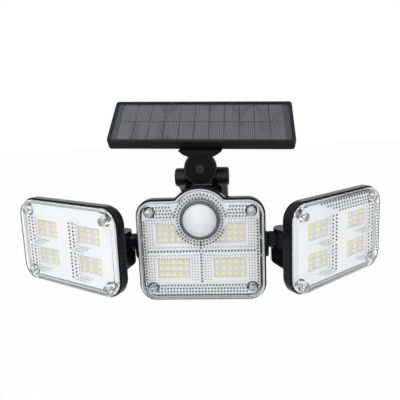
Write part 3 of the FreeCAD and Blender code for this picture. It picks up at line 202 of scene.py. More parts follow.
class Finish:
    """A procedural material. Constants go on the shader's sockets directly."""

    def __init__(self, name, **constants):
        self.material = bpy.data.materials.new(name)
        self.material.use_nodes = True
        self.tree = self.material.node_tree
        self.shader = self.tree.nodes["Principled BSDF"]
        for key, constant in constants.items():
            self.set(key.replace("_", " ").title().replace("Ior", "IOR"), constant)

    def node(self, kind, choices=None, inputs=None, output=0):
        """Adds a node with its choices and its inputs' values or links, and returns an output."""
        item = self.tree.nodes.new(kind)
        for key, choice in (choices or {}).items():
            setattr(item, key, choice)
        for key, given in (inputs or {}).items():
            if isinstance(given, Wire):
                self.tree.links.new(given.socket, item.inputs[key])
            else:
                item.inputs[key].default_value = given
        return Wire(self, item.outputs[output])

    def set(self, key, given):
        """Sets one of the shader's sockets to a value or a wire."""
        socket = self.shader.inputs[key]
        if isinstance(given, Wire):
            self.tree.links.new(given.socket, socket)
        elif hasattr(given, "__len__") and len(given) == 3 and len(socket.default_value) == 4:
            socket.default_value = (*given, 1.0)
        else:
            socket.default_value = given

    def place(self, location=(0, 0, 0), rotation=(0, 0, 0), scale=(1, 1, 1)):
        """Object coordinates, moved and turned to a piece's own frame."""
        source = self.node("ShaderNodeTexCoord", output="Object")
        return self.node("ShaderNodeMapping", {"vector_type": "TEXTURE"}, {
            "Vector": source, "Location": location, "Rotation": rotation, "Scale": scale})

    def axes(self, vector):
        split = self.tree.nodes.new("ShaderNodeSeparateXYZ")
        self.tree.links.new(vector.socket, split.inputs[0])
        return [Wire(self, socket) for socket in split.outputs]

    def noise(self, scale, detail=2.0, vector=None, roughness=0.5):
        vector = vector or self.node("ShaderNodeTexCoord", output="Object")
        return self.node("ShaderNodeTexNoise", None, {
            "Vector": vector, "Scale": scale, "Detail": detail, "Roughness": roughness})

    def blend(self, factor, first, second):
        """One colour over another."""
        return self.node("ShaderNodeMix", {"data_type": "RGBA"}, {
            0: factor, 6: self.four(first), 7: self.four(second)}, output=2)

    @staticmethod
    def four(given):
        return given if isinstance(given, Wire) else (*given, 1.0)

    def bump(self, height, distance_mm, strength=1.0):
        self.set("Normal", self.node("ShaderNodeBump", None, {
            "Height": height, "Distance": distance_mm * MM, "Strength": strength}))

    def let_light_in(self):
        """Lets the lamps shine straight through, so that what is behind the surface is lit."""
        rays = self.tree.nodes.new("ShaderNodeLightPath")
        shadow, diffuse = (Wire(self, rays.outputs[kind])
                           for kind in ("Is Shadow Ray", "Is Diffuse Ray"))
        inward = (shadow + diffuse) > 0.5
        clear = self.tree.nodes.new("ShaderNodeBsdfTransparent")
        mixed = self.node("ShaderNodeMixShader", None, {
            0: inward, 1: Wire(self, self.shader.outputs[0]), 2: Wire(self, clear.outputs[0])})
        self.tree.links.new(mixed.socket, self.tree.nodes["Material Output"].inputs["Surface"])

    def fine_lines(self, across, pitch_mm, line_mm):
        """1 on thin lines across an axis and 0 between them."""
        phase = (across / (pitch_mm * MM) + 0.5).fraction()
        return abs(phase - 0.5) < (line_mm / pitch_mm / 2)


# Finishes


def moulded_black(name, base, roughness, grain_mm, deep_mm, shine=0.12):
    """Black moulded plastic with a fine grain and slightly duller patches."""
    finish = Finish(name, specular_ior_level=shine)
    cloud = finish.noise(45, 3)
    finish.set("Base Color", finish.blend(cloud, base, [part * 1.5 for part in base]))
    finish.set("Roughness", cloud * 0.10 + (roughness - 0.05))
    finish.bump(finish.noise(1 / (grain_mm * MM), 2), deep_mm)
    return finish.material


def clear_lens(name):
    """Clear plastic with the faint ripple of the moulding, with a painted dark reflection that greys
    its colour where it is seen edge-on.

    Its index of refraction is fitted to the photo. Polycarbonate's own is about 1.58.
    """
    finish = Finish(name, roughness=0.02, ior=1.3, transmission_weight=1.0)
    ripple = finish.noise(160, 1)
    # Painted reflection: towards the lens's outline, where it is seen edge-on, the colour darkens to
    # grey. This stands in for the dark surroundings that the lens reflects there.
    edge = finish.node("ShaderNodeLayerWeight", None, {"Blend": 0.5}, output="Facing") ** 7
    body = finish.blend(ripple, (0.97, 0.98, 0.98), (1.0, 1.0, 1.0))
    finish.set("Base Color", finish.blend(edge, body, (0.10, 0.10, 0.11)))
    finish.bump(ripple, 0.02)
    finish.let_light_in()
    return finish.material


def prism_plastic(name):
    """The lens's prism dots: clear plastic given a dark painted colour, a painted reflection of the
    dark surroundings that they gather.
    """
    finish = Finish(name, roughness=0.1, ior=1.58)
    cloud = finish.noise(70, 2)
    # Painted reflection: the dark base colour stands in for the dark surroundings that the clear dots
    # reflect. The noise varies it at random.
    finish.set("Base Color", finish.blend(cloud, (0.03, 0.03, 0.033), (0.12, 0.12, 0.125)))
    finish.set("Alpha", cloud * 0.3 + 0.6)
    return finish.material


def white_tray(name):
    """White gloss plastic with a faint flow pattern of the moulding."""
    base = settings().colours.reflector
    finish = Finish(name, specular_ior_level=0.5)
    flow = finish.noise(60, 3)
    finish.set("Base Color", finish.blend(flow, [part * 0.97 for part in base], base))
    finish.set("Roughness", flow * 0.12 + 0.26)
    finish.bump(finish.noise(900, 1), 0.01)
    return finish.material


def light_board(name):
    """White solder mask over aluminium, with the copper tracks just showing."""
    base = settings().colours.board
    finish = Finish(name, roughness=0.38)
    x, y, z = finish.axes(finish.place())
    tracks = finish.fine_lines(z + x * 0.05, 5.7, 0.5)
    speck = finish.noise(1500, 1)
    shaded = finish.blend(tracks * 0.6, base, [part * 0.82 for part in base])
    finish.set("Base Color", finish.blend(speck * 0.2, shaded, (0.75, 0.72, 0.78)))
    finish.bump(tracks + speck * 0.2, 0.03)
    return finish.material


def emitter_shell(name):
    finish = Finish(name, roughness=0.35)
    grain = finish.noise(900, 1)
    finish.set("Base Color", finish.blend(grain, (0.84, 0.84, 0.80), (0.90, 0.90, 0.87)))
    return finish.material


def phosphor(name):
    """Yellow silicone with phosphor grains, a little darker at some emitters."""
    base = settings().colours.phosphor
    finish = Finish(name, roughness=0.28)
    grains = finish.noise(2600, 1)
    drift = finish.noise(95, 0)
    tinted = finish.blend(drift, [part * 1.08 for part in base], (0.84, 0.74, 0.16))
    finish.set("Base Color", finish.blend(grains * 0.25, tinted, (0.9, 0.9, 0.4)))
    finish.bump(grains, 0.02)
    return finish.material


def rubber(name, base, pale):
    finish = Finish(name, roughness=0.72)
    cloud = finish.noise(500, 2)
    finish.set("Base Color", finish.blend(cloud, base, pale))
    finish.bump(cloud, 0.04)
    return finish.material


def two_tone_seal(head):
    """Silicone seal, black along the outer edge and pale inside it."""
    finish = Finish(head.name + "_seal", roughness=0.72)
    x, y, z = finish.axes(finish.place(head.origin, (0, 0, head.turn)))
    middle_x, middle_z, wide, tall, corner = (part * MM for part in head.outline)
    across = abs(x - middle_x) - (wide - corner)
    up = abs(z - middle_z) - (tall - corner)
    past = across.at_least(0.0) ** 2 + up.at_least(0.0) ** 2
    inner = across.at_least(up).at_most(0.0)
    depth = corner - past ** 0.5 - inner
    if not head.side:
        lift = z - SENSOR_UP * MM
        depth = depth.at_least(BUMP_RADIUS * MM - (x ** 2 + lift ** 2) ** 0.5)
    cloud = finish.noise(500, 2)
    black = finish.blend(cloud, (0.010, 0.010, 0.010), (0.022, 0.022, 0.023))
    finish.set("Base Color", finish.blend(depth > SEAL_BLACK * MM, black, (0.66, 0.66, 0.67)))
    finish.bump(cloud, 0.04)
    return finish.material


def metal(name, base, roughness, brush=(1, 14, 1)):
    """Turned or drawn metal with fine marks along one way."""
    finish = Finish(name, metallic=1.0)
    marks = finish.noise(700, 2, finish.place(scale=brush))
    finish.set("Base Color", finish.blend(marks, [part * 0.8 for part in base], base))
    finish.set("Roughness", marks * 0.18 + (roughness - 0.06))
    finish.bump(marks, 0.01)
    return finish.material


def milky_dome(name):
    """Milky polyethylene of the sensor dome with its grid of faint lens cells."""
    base = settings().colours.dome
    finish = Finish(name, roughness=0.36)
    centre = Vector(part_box("pir_dome")[0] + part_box("pir_dome")[1]) / 2
    cells = finish.node("ShaderNodeTexVoronoi", {"feature": "DISTANCE_TO_EDGE"}, {
        "Vector": finish.place(centre), "Scale": 260, "Randomness": 0.25})
    seams = cells < 0.06
    cloud = finish.noise(60, 2)
    tint = finish.blend(cloud, [part * 0.93 for part in base], base)
    finish.set("Base Color", finish.blend(seams * 0.25, tint, [part * 0.8 for part in base]))
    finish.bump(cells, 0.05, 0.5)
    return finish.material


def sensor_ring(name):
    base = settings().colours.ring
    finish = Finish(name, ior=1.52)
    cloud = finish.noise(120, 2)
    finish.set("Base Color", finish.blend(cloud, base, [part * 1.6 for part in base]))
    finish.set("Roughness", cloud * 0.12 + 0.2)
    return finish.material


def circuit_green(name):
    """Green solder mask with its tracks."""
    finish = Finish(name, roughness=0.3)
    x, y, z = finish.axes(finish.place())
    tracks = finish.fine_lines(x + z, 2.5, 0.6)
    finish.set("Base Color", finish.blend(tracks, (0.012, 0.09, 0.03), (0.03, 0.20, 0.07)))
    finish.bump(tracks, 0.03)
    return finish.material


def shrink_wrap(name):
    finish = Finish(name, coat_weight=0.4)
    folds = finish.noise(90, 3, finish.place(scale=(6, 1, 1)))
    finish.set("Base Color", finish.blend(folds, (0.015, 0.08, 0.30), (0.03, 0.14, 0.46)))
    finish.set("Roughness", folds * 0.2 + 0.2)
    finish.bump(folds, 0.1)
    return finish.material


def panel_glass(name):
    """Tempered glass with a fine texture over the solar cells."""
    finish = Finish(name, ior=1.5, specular_ior_level=0.5)
    pebble = finish.noise(900, 1)
    finish.set("Base Color", finish.blend(pebble, (0.10, 0.11, 0.14), (0.14, 0.15, 0.18)))
    finish.set("Roughness", pebble * 0.1 + 0.14)
    finish.set("Alpha", finish.noise(30, 1) * 0.06 + 0.10)
    finish.bump(pebble, 0.01)
    return finish.material


def solar_cell(name):
    """Dark silicon with fine contact fingers."""
    base = settings().colours.cell
    finish = Finish(name, roughness=0.3, specular_ior_level=0.5)
    low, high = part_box("solar_cells")
    x, y, z = finish.axes(finish.place((low + high) / 2))
    crystal = finish.noise(260, 2, finish.place(scale=(1, 5, 5)))
    fingers = finish.fine_lines(x, 1.75, 0.8)
    silicon = finish.blend(crystal, base, [part * 1.9 for part in base])
    finish.set("Base Color", finish.blend(fingers * 0.7, silicon, (0.20, 0.195, 0.21)))
    finish.bump(fingers, 0.02)
    return finish.material


def dark_sheet(name):
    finish = Finish(name, roughness=0.55)
    cloud = finish.noise(300, 2)
    finish.set("Base Color", finish.blend(cloud, (0.012, 0.012, 0.015), (0.024, 0.024, 0.03)))
    finish.bump(cloud, 0.02)
    return finish.material


def finishes():
    """The finish of each material slot in the record."""
    colours = settings().colours
    return {
        "black_shell": moulded_black("housing_gloss", colours.shell, 0.20, 1.4, 0.012),
        "black_bracket": moulded_black("bracket_satin", colours.bracket, 0.42, 0.5, 0.03, 0.24),
        "clear_lens": clear_lens("clear_lens"),
        "white_reflector": white_tray("white_reflector"),
        "light_board": light_board("light_board"),
        "emitter": emitter_shell("emitter_shell"),
        "seal": rubber("seal_rubber", (0.010, 0.010, 0.010), (0.022, 0.022, 0.023)),
        "steel": metal("zinc_steel", (0.62, 0.62, 0.61), 0.30),
        "dark_screw": metal("lens_screw_steel", (0.5, 0.5, 0.51), 0.3),
        "milky_dome": milky_dome("milky_dome"),
        "dark_ring": sensor_ring("sensor_ring"),
        "control_board": circuit_green("circuit_green"),
        "cell_wrap": shrink_wrap("cell_wrap"),
        "cradle": moulded_black("cradle_matte", (0.03, 0.03, 0.033), 0.6, 0.6, 0.03),
        "brass": metal("brass", (0.72, 0.52, 0.22), 0.28),
        "panel_glass": panel_glass("panel_glass"),
        "panel_sheet": dark_sheet("panel_sheet"),
        "solar_cell": solar_cell("solar_cell"),
        "button": moulded_black("button_rubber", (0.04, 0.04, 0.044), 0.5, 0.6, 0.03),
    }


# The lamp heads' frames


class LampHead:
    """Where a lamp head's pieces are, in its own frame."""

    def __init__(self, name, body, origin, turn, rim, middle, side):
        self.name = name
        self.body = body
        self.origin = Vector(origin) * MM
        self.turn = math.radians(turn)
        self.place = Matrix.Translation(self.origin) @ Matrix.Rotation(self.turn, 4, "Z")
        self.rim = rim
        self.x, self.z = middle
        self.side = side
        # Middle x and z, half width, half height and corner radius of the housing's outline
        self.outline = (side * 29, 9, 58.6, 38.5, 16) if side else (0, 0, 56, 46, 15)

    def edge_depth(self, x, z):
        """How far inside the housing's outline a point is."""
        middle_x, middle_z, wide, tall, corner = self.outline
        across, up = abs(x - middle_x) - wide + corner, abs(z - middle_z) - tall + corner
        inside = corner - math.hypot(max(across, 0), max(up, 0)) - min(max(across, up), 0)
        return inside if self.side else max(inside, BUMP_RADIUS - math.hypot(x, z - SENSOR_UP))

    def windows(self):
        """Middle, half width and half height of each window, and the side it is on."""
        across, ups, wide, tall = ((25.9, (13, -13), 12.75, 7.5) if self.side
                                   else (24.65, (15, -16.8), 14.35, 8.85))
        return [(self.x + way * across, self.z + up, wide, tall, way)
                for way in (-1, 1) for up in ups]

    def screws(self):
        across, up = (47.3, 28.6) if self.side else (44, 34.4)
        return [(self.x + a * across, self.z + b * up) for a in (-1, 1) for b in (-1, 1)]

    def lights(self):
        """Middle of every light emitter."""
        step_x, step_z, columns = (9, 4.65, 3) if self.side else (5.55, 5.7, 5)
        found = []
        for x, z, wide, tall, way in self.windows():
            for row in (-1, 0, 1):
                clipped = not self.side and z > 0
                shown = (4 if row < 0 else 3) if clipped else columns
                found += [(x + way * ((columns - 1) / 2 - column) * step_x, z + row * step_z)
                          for column in range(shown)]
        return found


CENTRE = LampHead("centre", "lamp", (0, -88, -30), 0, 0, (0, 0), 0)
LEFT = LampHead("left", "left_head", (-71.8, -77.6, -30), -27.5, -35.5, (-30, 7.6), -1)
RIGHT = LampHead("right", "right_head", (71.8, -77.6, -30), 40.25, -35.5, (30, 7.6), 1)
HEADS = (CENTRE, LEFT, RIGHT)


# Modelling helpers


def clear_selection():
    if bpy.context.object and bpy.context.object.mode != "OBJECT":
        bpy.ops.object.mode_set(mode="OBJECT")
    bpy.ops.object.select_all(action="DESELECT")


def pick(*pieces):
    """Selects these pieces and nothing else, the first one active."""
    clear_selection()
    for piece in pieces:
        piece.select_set(True)
    bpy.context.view_layer.objects.active = pieces[0]


def started(name):
    """Names the primitive that was just added and puts its place into its mesh."""
    piece = bpy.context.object
    piece.name = name
    piece.data.name = name
    bpy.ops.object.transform_apply(location=True, rotation=True, scale=True)
    return piece


def edit_faces(piece, wanted):
    """Enters edit mode with the faces selected whose normal and middle fit."""
    pick(piece)
    bpy.ops.object.mode_set(mode="EDIT")
    bpy.ops.mesh.select_mode(type="FACE")
    bpy.ops.mesh.select_all(action="DESELECT")
    bpy.ops.object.mode_set(mode="OBJECT")
    for face in piece.data.polygons:
        face.select = wanted(face.normal, face.center)
    bpy.ops.object.mode_set(mode="EDIT")


def leave_edit():
    bpy.ops.object.mode_set(mode="OBJECT")


def faces_front(normal, middle):
    return normal.y < -0.9


def modified(piece, kind, **choices):
    """Adds a modifier and applies it."""
    pick(piece)
    modifier = piece.modifiers.new(kind.lower(), kind)
    for key, choice in choices.items():
        setattr(modifier, key, choice)
    bpy.ops.object.modifier_apply(modifier=modifier.name)


def copies(pattern, name, places):
    """One mesh of copies of a pattern piece, each moved to a place. The pattern is removed."""
    made = []
    for spot in places:
        copy = pattern.copy()
        copy.data = pattern.data.copy()
        copy.location = spot
        bpy.context.scene.collection.objects.link(copy)
        made.append(copy)
    pick(*made)
    if len(made) > 1:
        bpy.ops.object.join()
    piece = bpy.context.object
    piece.name = name
    piece.data.name = name
    bpy.ops.object.transform_apply(location=True, rotation=True, scale=True)
    bpy.data.objects.remove(pattern)
    return piece


def join(name, *pieces):
    pick(*pieces)
    bpy.ops.object.join()
    pieces[0].name = name
    return pieces[0]


def seat(piece, place):
    """Puts a finished piece in place, with its place in its mesh."""
    piece.matrix_world = place
    pick(piece)
    bpy.ops.object.transform_apply(location=True, rotation=True, scale=True)


def give(piece, *materials):
    """Puts materials into a piece's slots, one each, and keeps which face has which slot."""
    for number, material in enumerate(materials):
        if number < len(piece.data.materials):
            piece.data.materials[number] = material
        else:
            piece.data.materials.append(material)


# Prism dots


def prism(name, wide, high):
    """One eight-sided dot with a domed tip, its foot at the origin and its tip towards +Y."""
    clear_selection()
    bpy.ops.mesh.primitive_cylinder_add(vertices=8, radius=wide / 2, depth=high,
                                        location=(0, high / 2, 0), rotation=(-math.pi / 2, 0, 0))
    piece = started(name)
    edit_faces(piece, lambda normal, middle: normal.y > 0.9)
    bpy.ops.transform.resize(value=(0.8, 1, 0.8))
    bpy.ops.mesh.inset(thickness=wide * 0.2, depth=high * 0.3)
    leave_edit()
    return piece


def line(start, end, pitch):
    """Points from start to end, both included, about a pitch apart."""
    run = Vector(end) - Vector(start)
    steps = max(1, round(run.length / pitch))
    return [tuple(Vector(start) + run * step / steps) for step in range(steps + 1)]


def arc(x, z, radius, first, last, pitch):
    """Points on an arc about a middle, between two angles in degrees."""
    steps = max(1, round(math.radians(last - first) * radius / pitch))
    angles = [math.radians(first + (last - first) * step / steps) for step in range(steps + 1)]
    return [(x + radius * math.cos(angle), z + radius * math.sin(angle)) for angle in angles]


def window_ring(x, z, wide, tall, out, pitch):
    """Points round a window, a distance outside its edge."""
    left, right, low, high = x - wide - out, x + wide + out, z - tall - out, z + tall + out
    corners = [(left, low), (left, high), (right, high), (right, low), (left, low)]
    return [spot for start, end in zip(corners, corners[1:]) for spot in line(start, end, pitch)[:-1]]


def centre_dots(pitch, fine):
    """Bold, large and small dots of the centre lens."""
    left, right, low, high, middle = -48.4, 48.9, -30.6, 27, 0.5
    bold = line((left, low), (left, high), pitch) + line((right, low), (right, high), pitch)
    bold += line((-45.6, middle), (46.1, middle), pitch) + line((0, -27), (0, -2.4), pitch)
    bold += line((0, 3.3), (0, 8), pitch)
    large = []
    for row in range(4):
        reach, down = 46.1 if row == 0 else 38.6, low - row * 2.95
        large += line((-reach, down), (reach, down), pitch)
    for row in range(4):
        up, inner_end = 31 + row * 2.9, 22.5 + row * 1.2
        for way in (-1, 1):
            large += line((way * 39.5, up), (way * inner_end, up), pitch)
    large += arc(0, SENSOR_UP, SENSOR_RING + 2.2, 180, 360, pitch)[1:-1]
    large += arc(0, SENSOR_UP, SENSOR_RING + 2.2, 0, 180, pitch)
    large += arc(0, SENSOR_UP, SENSOR_RING + 4.9, 12, 168, pitch)
    large += arc(0, SENSOR_UP, SENSOR_RING + 4.9, 205, 335, pitch)
    small = []
    for x, z, wide, tall, way in CENTRE.windows():
        for level in (2.2, 4.6, 7.0):
            for spot in window_ring(x, z, wide, tall, level, fine):
                from_sensor = math.hypot(spot[0], spot[1] - SENSOR_UP)
                off_lines = abs(spot[0]) > 1.8 and abs(spot[1] - middle) > 1.6
                on_face = -27 < spot[1] < 29 and abs(spot[0]) < 47
                if from_sensor > SENSOR_RING + 6.6 and off_lines and on_face:
                    small.append(spot)
    return bold, large, small


def side_dots(head, pitch, fine):
    """Dots of a side lens: columns on the outer side of each window, and rows along one edge."""
    bold, large, small = [], [], []
    for x, z, wide, tall, way in head.windows():
        for level, dots in ((-3.9, small), (0.3, large), (4.8, bold)):
            out, foot = x + head.side * (wide + level), z - tall - 3.2 - level * 0.45
            dots.extend(line((out, z + tall + 2.5), (out, foot + 1.5), fine * 1.25))
            small.extend(line((out - head.side * 1.8, foot), (out - head.side * 15, foot), fine))
    if head is RIGHT:
        large += line((head.x + 52, head.z - 22), (head.x + 52, head.z + 22), pitch)
        for row in range(4):
            up = head.z + 26.5 + row * 2.9
            large += line((head.x + 41 - row, up), (head.x - 4 - row * 8, up), pitch * 1.3)
    return bold, large, small


def whiten_inside(head, piece, material):
    """Gives the inside of a housing's rim and its screw posts the reflector's white."""
    give(piece, piece.data.materials[0], material)
    into_head = head.place.inverted()
    for face in piece.data.polygons:
        spot = into_head @ face.center / MM
        out = (into_head.to_3x3() @ face.normal).y < -0.9
        on_post = any(math.hypot(spot.x - x, spot.z - z) < POST_REACH for x, z in head.screws())
        within = head.edge_depth(spot.x, spot.z) > RIM_WALL and spot.y < head.rim + WHITE_DEEP
        face.material_index = int(within and (on_post or not out))


def lens_dots(head, material):
    sizes = settings().lens
    make = centre_dots if head is CENTRE else lambda pitch, fine: side_dots(head, pitch, fine)
    groups = zip(("bold", "large", "small"), (sizes.bold_wide, sizes.dot_wide, sizes.fine_wide),
                 make(sizes.pitch / MM, sizes.fine_pitch / MM))
    inner = (head.rim + LENS_INNER - 0.02) * MM
    layers = []
    for word, wide, places in groups:
        dot = prism("dot", wide, sizes.dot_high * wide / sizes.dot_wide)
        layers.append(copies(dot, word, [(x * MM, inner, z * MM) for x, z in places]))
    piece = join(head.name + "_lens_prisms", *layers)
    give(piece, material)
    seat(piece, head.place)
    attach(piece, head.body)


# Side housings


def shallow_shell(head):
    """A side head's housing, with its back flattened to the depth that the photo shows."""
    sizes = settings().fitting
    node = frame["nodes"][head.name + "_housing"]
    clear_selection()
    piece = node.copy()
    piece.data = node.data.copy()
    for key in list(piece.keys()):
        del piece[key]
    piece.parent = None
    bpy.context.scene.collection.objects.link(piece)
    piece.name = head.name + "_shallow_shell"
    seat(piece, head.place.inverted())
    band_end = (head.rim + BAND_DEEP) * MM
    rear = (head.rim + CAD_DEEP) * MM
    bpy.ops.object.mode_set(mode="EDIT")
    bpy.ops.mesh.select_mode(type="VERT")
    bpy.ops.mesh.select_all(action="SELECT")
    bpy.ops.mesh.remove_doubles(threshold=1e-6)
    bpy.ops.mesh.select_all(action="DESELECT")
    bpy.ops.object.mode_set(mode="OBJECT")
    for vertex in piece.data.vertices:
        vertex.select = band_end < vertex.co.y < rear + 0.01 * MM
    bpy.ops.object.mode_set(mode="EDIT")
    flat = (sizes.shell_deep / MM - BAND_DEEP) / (CAD_DEEP - BAND_DEEP)
    bpy.ops.transform.resize(value=(1, flat, 1), center_override=(0, band_end, 0))
    leave_edit()
    seat(piece, head.place)
    whiten_inside(head, piece, bpy.data.materials["white_reflector"])
    bpy.ops.object.shade_smooth_by_angle(angle=math.radians(35))
    modified(piece, "WEIGHTED_NORMAL", keep_sharp=True)
    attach(piece, head.body)
    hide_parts(node.name)


# Light emitters


def emitter(name, shell, face):
    """One emitter: a white case with a yellow face sunk in it."""
    sizes = settings().fitting
    clear_selection()
    bpy.ops.mesh.primitive_cube_add(
        size=1, scale=(sizes.light_wide, sizes.light_thick, sizes.light_tall),
        location=(0, sizes.light_thick / 2, 0))
    piece = started(name)
    edit_faces(piece, faces_front)
    bpy.ops.mesh.inset(thickness=sizes.light_rim, depth=0)
    bpy.ops.mesh.inset(thickness=0.12 * MM, depth=-0.14 * MM)
    leave_edit()
    give(piece, shell, face)
    for side in piece.data.polygons:
        side.material_index = int(side.select)
    return piece


def lights(head, shell, face):
    thick = settings().fitting.light_thick / MM
    front = head.rim + BOARD_FRONT - thick
    piece = copies(emitter("emitter", shell, face), head.name + "_emitters",
                   [(x * MM, front * MM, z * MM) for x, z in head.lights()])
    seat(piece, head.place)
    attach(piece, head.body)
    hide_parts(head.name + "_leds")


# Screws


def cross_cutter(wide, slot, deep):
    """A tapered cross to cut a screw's recess with."""
    bars = []
    for turn in (0, math.pi / 2):
        clear_selection()
        bpy.ops.mesh.primitive_cube_add(size=1, scale=(wide, deep * 2, slot), rotation=(0, turn, 0))
        bar = started("bar")
        edit_faces(bar, lambda normal, middle: normal.y > 0.9)
        bpy.ops.transform.resize(value=(0.45, 1, 0.45))
        leave_edit()
        bars.append(bar)
    modified(bars[0], "BOOLEAN", operation="UNION", object=bars[1], solver="EXACT")
    bpy.data.objects.remove(bars[1])
    return bars[0]


def pan_screw(name, head_radius, head_long, radius, long):
    """A pan-head screw with a cross recess, the head's underside at the origin."""
    sizes = settings().fitting
    clear_selection()
    bpy.ops.mesh.primitive_cylinder_add(
        vertices=sizes.screw_sides, radius=head_radius, depth=head_long,
        location=(0, -head_long / 2, 0), rotation=(math.pi / 2, 0, 0))
    piece = started(name)
    edit_faces(piece, faces_front)
    bpy.ops.mesh.bevel(offset=head_long * 0.38, segments=4, affect="EDGES")
    leave_edit()
    cutter = cross_cutter(sizes.recess_wide, sizes.recess_slot, deep=1.1 * MM)
    cutter.location = (0, -head_long, 0)
    modified(piece, "BOOLEAN", operation="DIFFERENCE", object=cutter, solver="EXACT")
    bpy.data.objects.remove(cutter)
    edit_faces(piece, lambda normal, middle: normal.y > 0.9 and abs(middle.y) < 1e-5)
    bpy.ops.mesh.inset(thickness=head_radius - radius, depth=0)
    bpy.ops.mesh.extrude_region_move(TRANSFORM_OT_translate={"value": (0, long, 0)})
    leave_edit()
    return piece


def lens_screws(head, material):
    underside = head.rim + LENS_FRONT + SCREW_SEAT
    pattern = pan_screw("screw", head_radius=2.8 * MM, head_long=1.9 * MM, radius=1.5 * MM,
                        long=11 * MM)
    piece = copies(pattern, head.name + "_cross_screws",
                   [(x * MM, underside * MM, z * MM) for x, z in head.screws()])
    give(piece, material)
    seat(piece, head.place)
    bpy.ops.object.shade_smooth_by_angle(angle=math.radians(32))
    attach(piece, head.body)
    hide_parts(head.name + "_lens_screws")


# Operators


class SECLIGHT_OT_finishes(bpy.types.Operator):
    """Gives every CAD part its finish"""

    bl_idname = "security_light.finishes"
    bl_label = "Finishes"

    def execute(self, context):
        by_slot = finishes()
        nodes = frame["nodes"]
        for part in frame["record"]["subparts"]:
            give(nodes[part["node"]], by_slot[part["material_slot"]])
        give(nodes["panel_foot"],
             moulded_black("foot_satin", (0.002, 0.002, 0.0022), 0.34, 1.0, 0.015, 0.06))
        give(nodes["roll_screw"], metal("blackened_steel", (0.03, 0.03, 0.032), 0.4))
        give(nodes["panel_frame"],
             moulded_black("frame_satin", (0.009, 0.009, 0.010), 0.5, 0.7, 0.02, 0.14))
        for head in HEADS:
            give(nodes[head.name + "_gasket"], two_tone_seal(head))
        whiten_inside(CENTRE, nodes["centre_housing"], by_slot["white_reflector"])
        return {"FINISHED"}


class SECLIGHT_OT_lens_prisms(bpy.types.Operator):
    """Adds the prism dots on the inside of the lenses"""

    bl_idname = "security_light.lens_prisms"
    bl_label = "Lens Prisms"

    def execute(self, context):
        material = prism_plastic("prism_plastic")
        for head in HEADS:
            lens_dots(head, material)
        return {"FINISHED"}


class SECLIGHT_OT_side_shells(bpy.types.Operator):
    """Replaces the side heads' housings with shallower ones"""

    bl_idname = "security_light.side_shells"
    bl_label = "Side Housings"

    def execute(self, context):
        for head in (LEFT, RIGHT):
            shallow_shell(head)
        return {"FINISHED"}


class SECLIGHT_OT_emitters(bpy.types.Operator):
    """Adds the light emitters with their yellow faces"""

    bl_idname = "security_light.emitters"
    bl_label = "Light Emitters"

    def execute(self, context):
        shell = bpy.data.materials["emitter_shell"]
        face = phosphor("phosphor")
        for head in HEADS:
            lights(head, shell, face)
        return {"FINISHED"}


class SECLIGHT_OT_screws(bpy.types.Operator):
    """Adds the lens screws with their cross recesses"""

    bl_idname = "security_light.screws"
    bl_label = "Lens Screws"

    def execute(self, context):
        material = bpy.data.materials["lens_screw_steel"]
        for head in HEADS:
            lens_screws(head, material)
        return {"FINISHED"}


class SECLIGHT_OT_stage(bpy.types.Operator):
    """Adds the floor, the soft lamps, the pale surroundings and the camera"""

    bl_idname = "security_light.stage"
    bl_label = "Stage"

    def execute(self, context):
        surroundings()
        pale_floor()
        soft_lamps()
        camera()
        return {"FINISHED"}


# Stage


def shown_white(tree, plain, strength):
    """Mixes a plain white over a shader, for what the camera sees directly or by reflection."""
    rays = tree.nodes.new("ShaderNodeLightPath")
    total = rays.outputs["Is Camera Ray"]
    for other in ("Is Glossy Ray", "Is Transmission Ray"):
        both = tree.nodes.new("ShaderNodeMath")
        both.operation = "MAXIMUM"
        tree.links.new(total, both.inputs[0])
        tree.links.new(rays.outputs[other], both.inputs[1])
        total = both.outputs[0]
    scaled = tree.nodes.new("ShaderNodeMath")
    scaled.operation = "MULTIPLY"
    scaled.inputs[1].default_value = strength
    tree.links.new(total, scaled.inputs[0])
    mixed = tree.nodes.new("ShaderNodeMixShader")
    white = tree.nodes.new("ShaderNodeBackground" if plain.bl_idname == "ShaderNodeBackground"
                           else "ShaderNodeEmission")
    white.inputs["Color"].default_value = (1, 1, 1, 1)
    white.inputs["Strength"].default_value = 1.0
    tree.links.new(scaled.outputs[0], mixed.inputs[0])
    tree.links.new(plain.outputs[0], mixed.inputs[1])
    tree.links.new(white.outputs[0], mixed.inputs[2])
    return mixed


def surroundings():
    world = bpy.context.scene.world or bpy.data.worlds.new("surroundings")
    bpy.context.scene.world = world
    world.use_nodes = True
    tree = world.node_tree
    tree.nodes.clear()
    soft = tree.nodes.new("ShaderNodeBackground")
    soft.inputs["Color"].default_value = (0.97, 0.98, 1, 1)
    soft.inputs["Strength"].default_value = 0.62
    output = tree.nodes.new("ShaderNodeOutputWorld")
    tree.links.new(shown_white(tree, soft, 1.0).outputs[0], output.inputs["Surface"])


def pale_floor():
    clear_selection()
    bpy.ops.mesh.primitive_plane_add(size=8, location=(0, 0, -0.32))
    floor = bpy.context.object
    floor.name = "floor"
    material = bpy.data.materials.new("pale_floor")
    material.use_nodes = True
    tree = material.node_tree
    tree.nodes.clear()
    matte = tree.nodes.new("ShaderNodeBsdfDiffuse")
    matte.inputs["Color"].default_value = (0.9, 0.9, 0.9, 1)
    output = tree.nodes.new("ShaderNodeOutputMaterial")
    tree.links.new(shown_white(tree, matte, 0.96).outputs[0], output.inputs["Surface"])
    floor.data.materials.append(material)


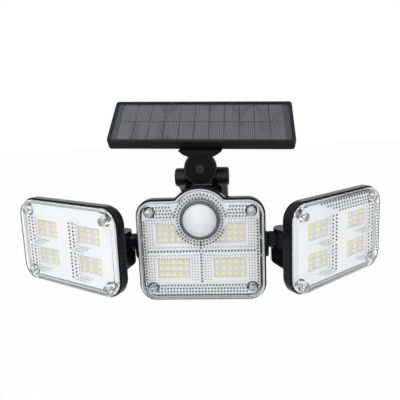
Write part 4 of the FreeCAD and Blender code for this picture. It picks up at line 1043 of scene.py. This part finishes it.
def soft_lamps():
    """Three area lamps: from above on the left, from the right and from the front."""
    target = Vector((0, -0.08, 0))
    for name, place, size, power in (
        ("lamp_above", (-0.5, -0.5, 1.1), 0.9, 6.0),
        ("lamp_right", (1.0, -0.7, 0.35), 0.7, 3.0),
        ("lamp_front", (-0.35, -1.3, 0.25), 0.8, 4.0),
    ):
        bpy.ops.object.light_add(type="AREA", location=place)
        lamp = bpy.context.object
        lamp.name = name
        lamp.data.size = size
        lamp.data.energy = power
        lamp.rotation_euler = (target - Vector(place)).to_track_quat("-Z", "Y").to_euler()


def camera():
    """The photograph's view, in the wall frame."""
    turn, down, tilt = (math.radians(angle) for angle in (3.37, 9.71, 2.08))
    pose = (Matrix.Rotation(turn, 4, "Z") @ Matrix.Rotation(-down, 4, "X")
            @ Matrix.Rotation(tilt, 4, "Y") @ Matrix.Rotation(math.pi / 2, 4, "X"))
    bpy.ops.object.camera_add()
    view = bpy.context.object
    view.matrix_world = Matrix.Translation((0.03234, -0.43707, 0.09366)) @ pose
    view.data.lens = 37.8
    view.data.sensor_width = 36
    view.data.shift_x = -0.03075
    view.data.shift_y = -0.05645
    view.data.clip_start = 0.02
    bpy.context.scene.camera = view
    bpy.context.scene.view_settings.view_transform = "Standard"


# Sidebar


class SECLIGHT_PT_panel(bpy.types.Panel):
    """The light's steps and settings in the sidebar"""

    bl_label = "Security Light"
    bl_idname = "SECLIGHT_PT_panel"
    bl_space_type = "VIEW_3D"
    bl_region_type = "UI"
    bl_category = "Security Light"

    def draw(self, context):
        for step in STEPS:
            self.layout.operator(step.bl_idname)
        for group in (settings().lens, settings().fitting, settings().colours):
            box = self.layout.box()
            for key in group.__annotations__:
                box.prop(group, key)


STEPS = (SECLIGHT_OT_finishes, SECLIGHT_OT_side_shells, SECLIGHT_OT_lens_prisms,
         SECLIGHT_OT_emitters, SECLIGHT_OT_screws, SECLIGHT_OT_stage)
CLASSES = (LensSizes, FittingSizes, LightColours, SecurityLight, *STEPS, SECLIGHT_PT_panel)


def register():
    for item in CLASSES:
        bpy.utils.register_class(item)
    bpy.types.Scene.security_light = PointerProperty(type=SecurityLight)


def unregister():
    del bpy.types.Scene.security_light
    for item in reversed(CLASSES):
        bpy.utils.unregister_class(item)


def main():
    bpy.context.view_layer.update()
    register()
    bpy.ops.security_light.finishes()
    bpy.ops.security_light.side_shells()
    bpy.ops.security_light.lens_prisms()
    bpy.ops.security_light.emitters()
    bpy.ops.security_light.screws()
    bpy.ops.security_light.stage()


if __name__ == "__main__":
    main()
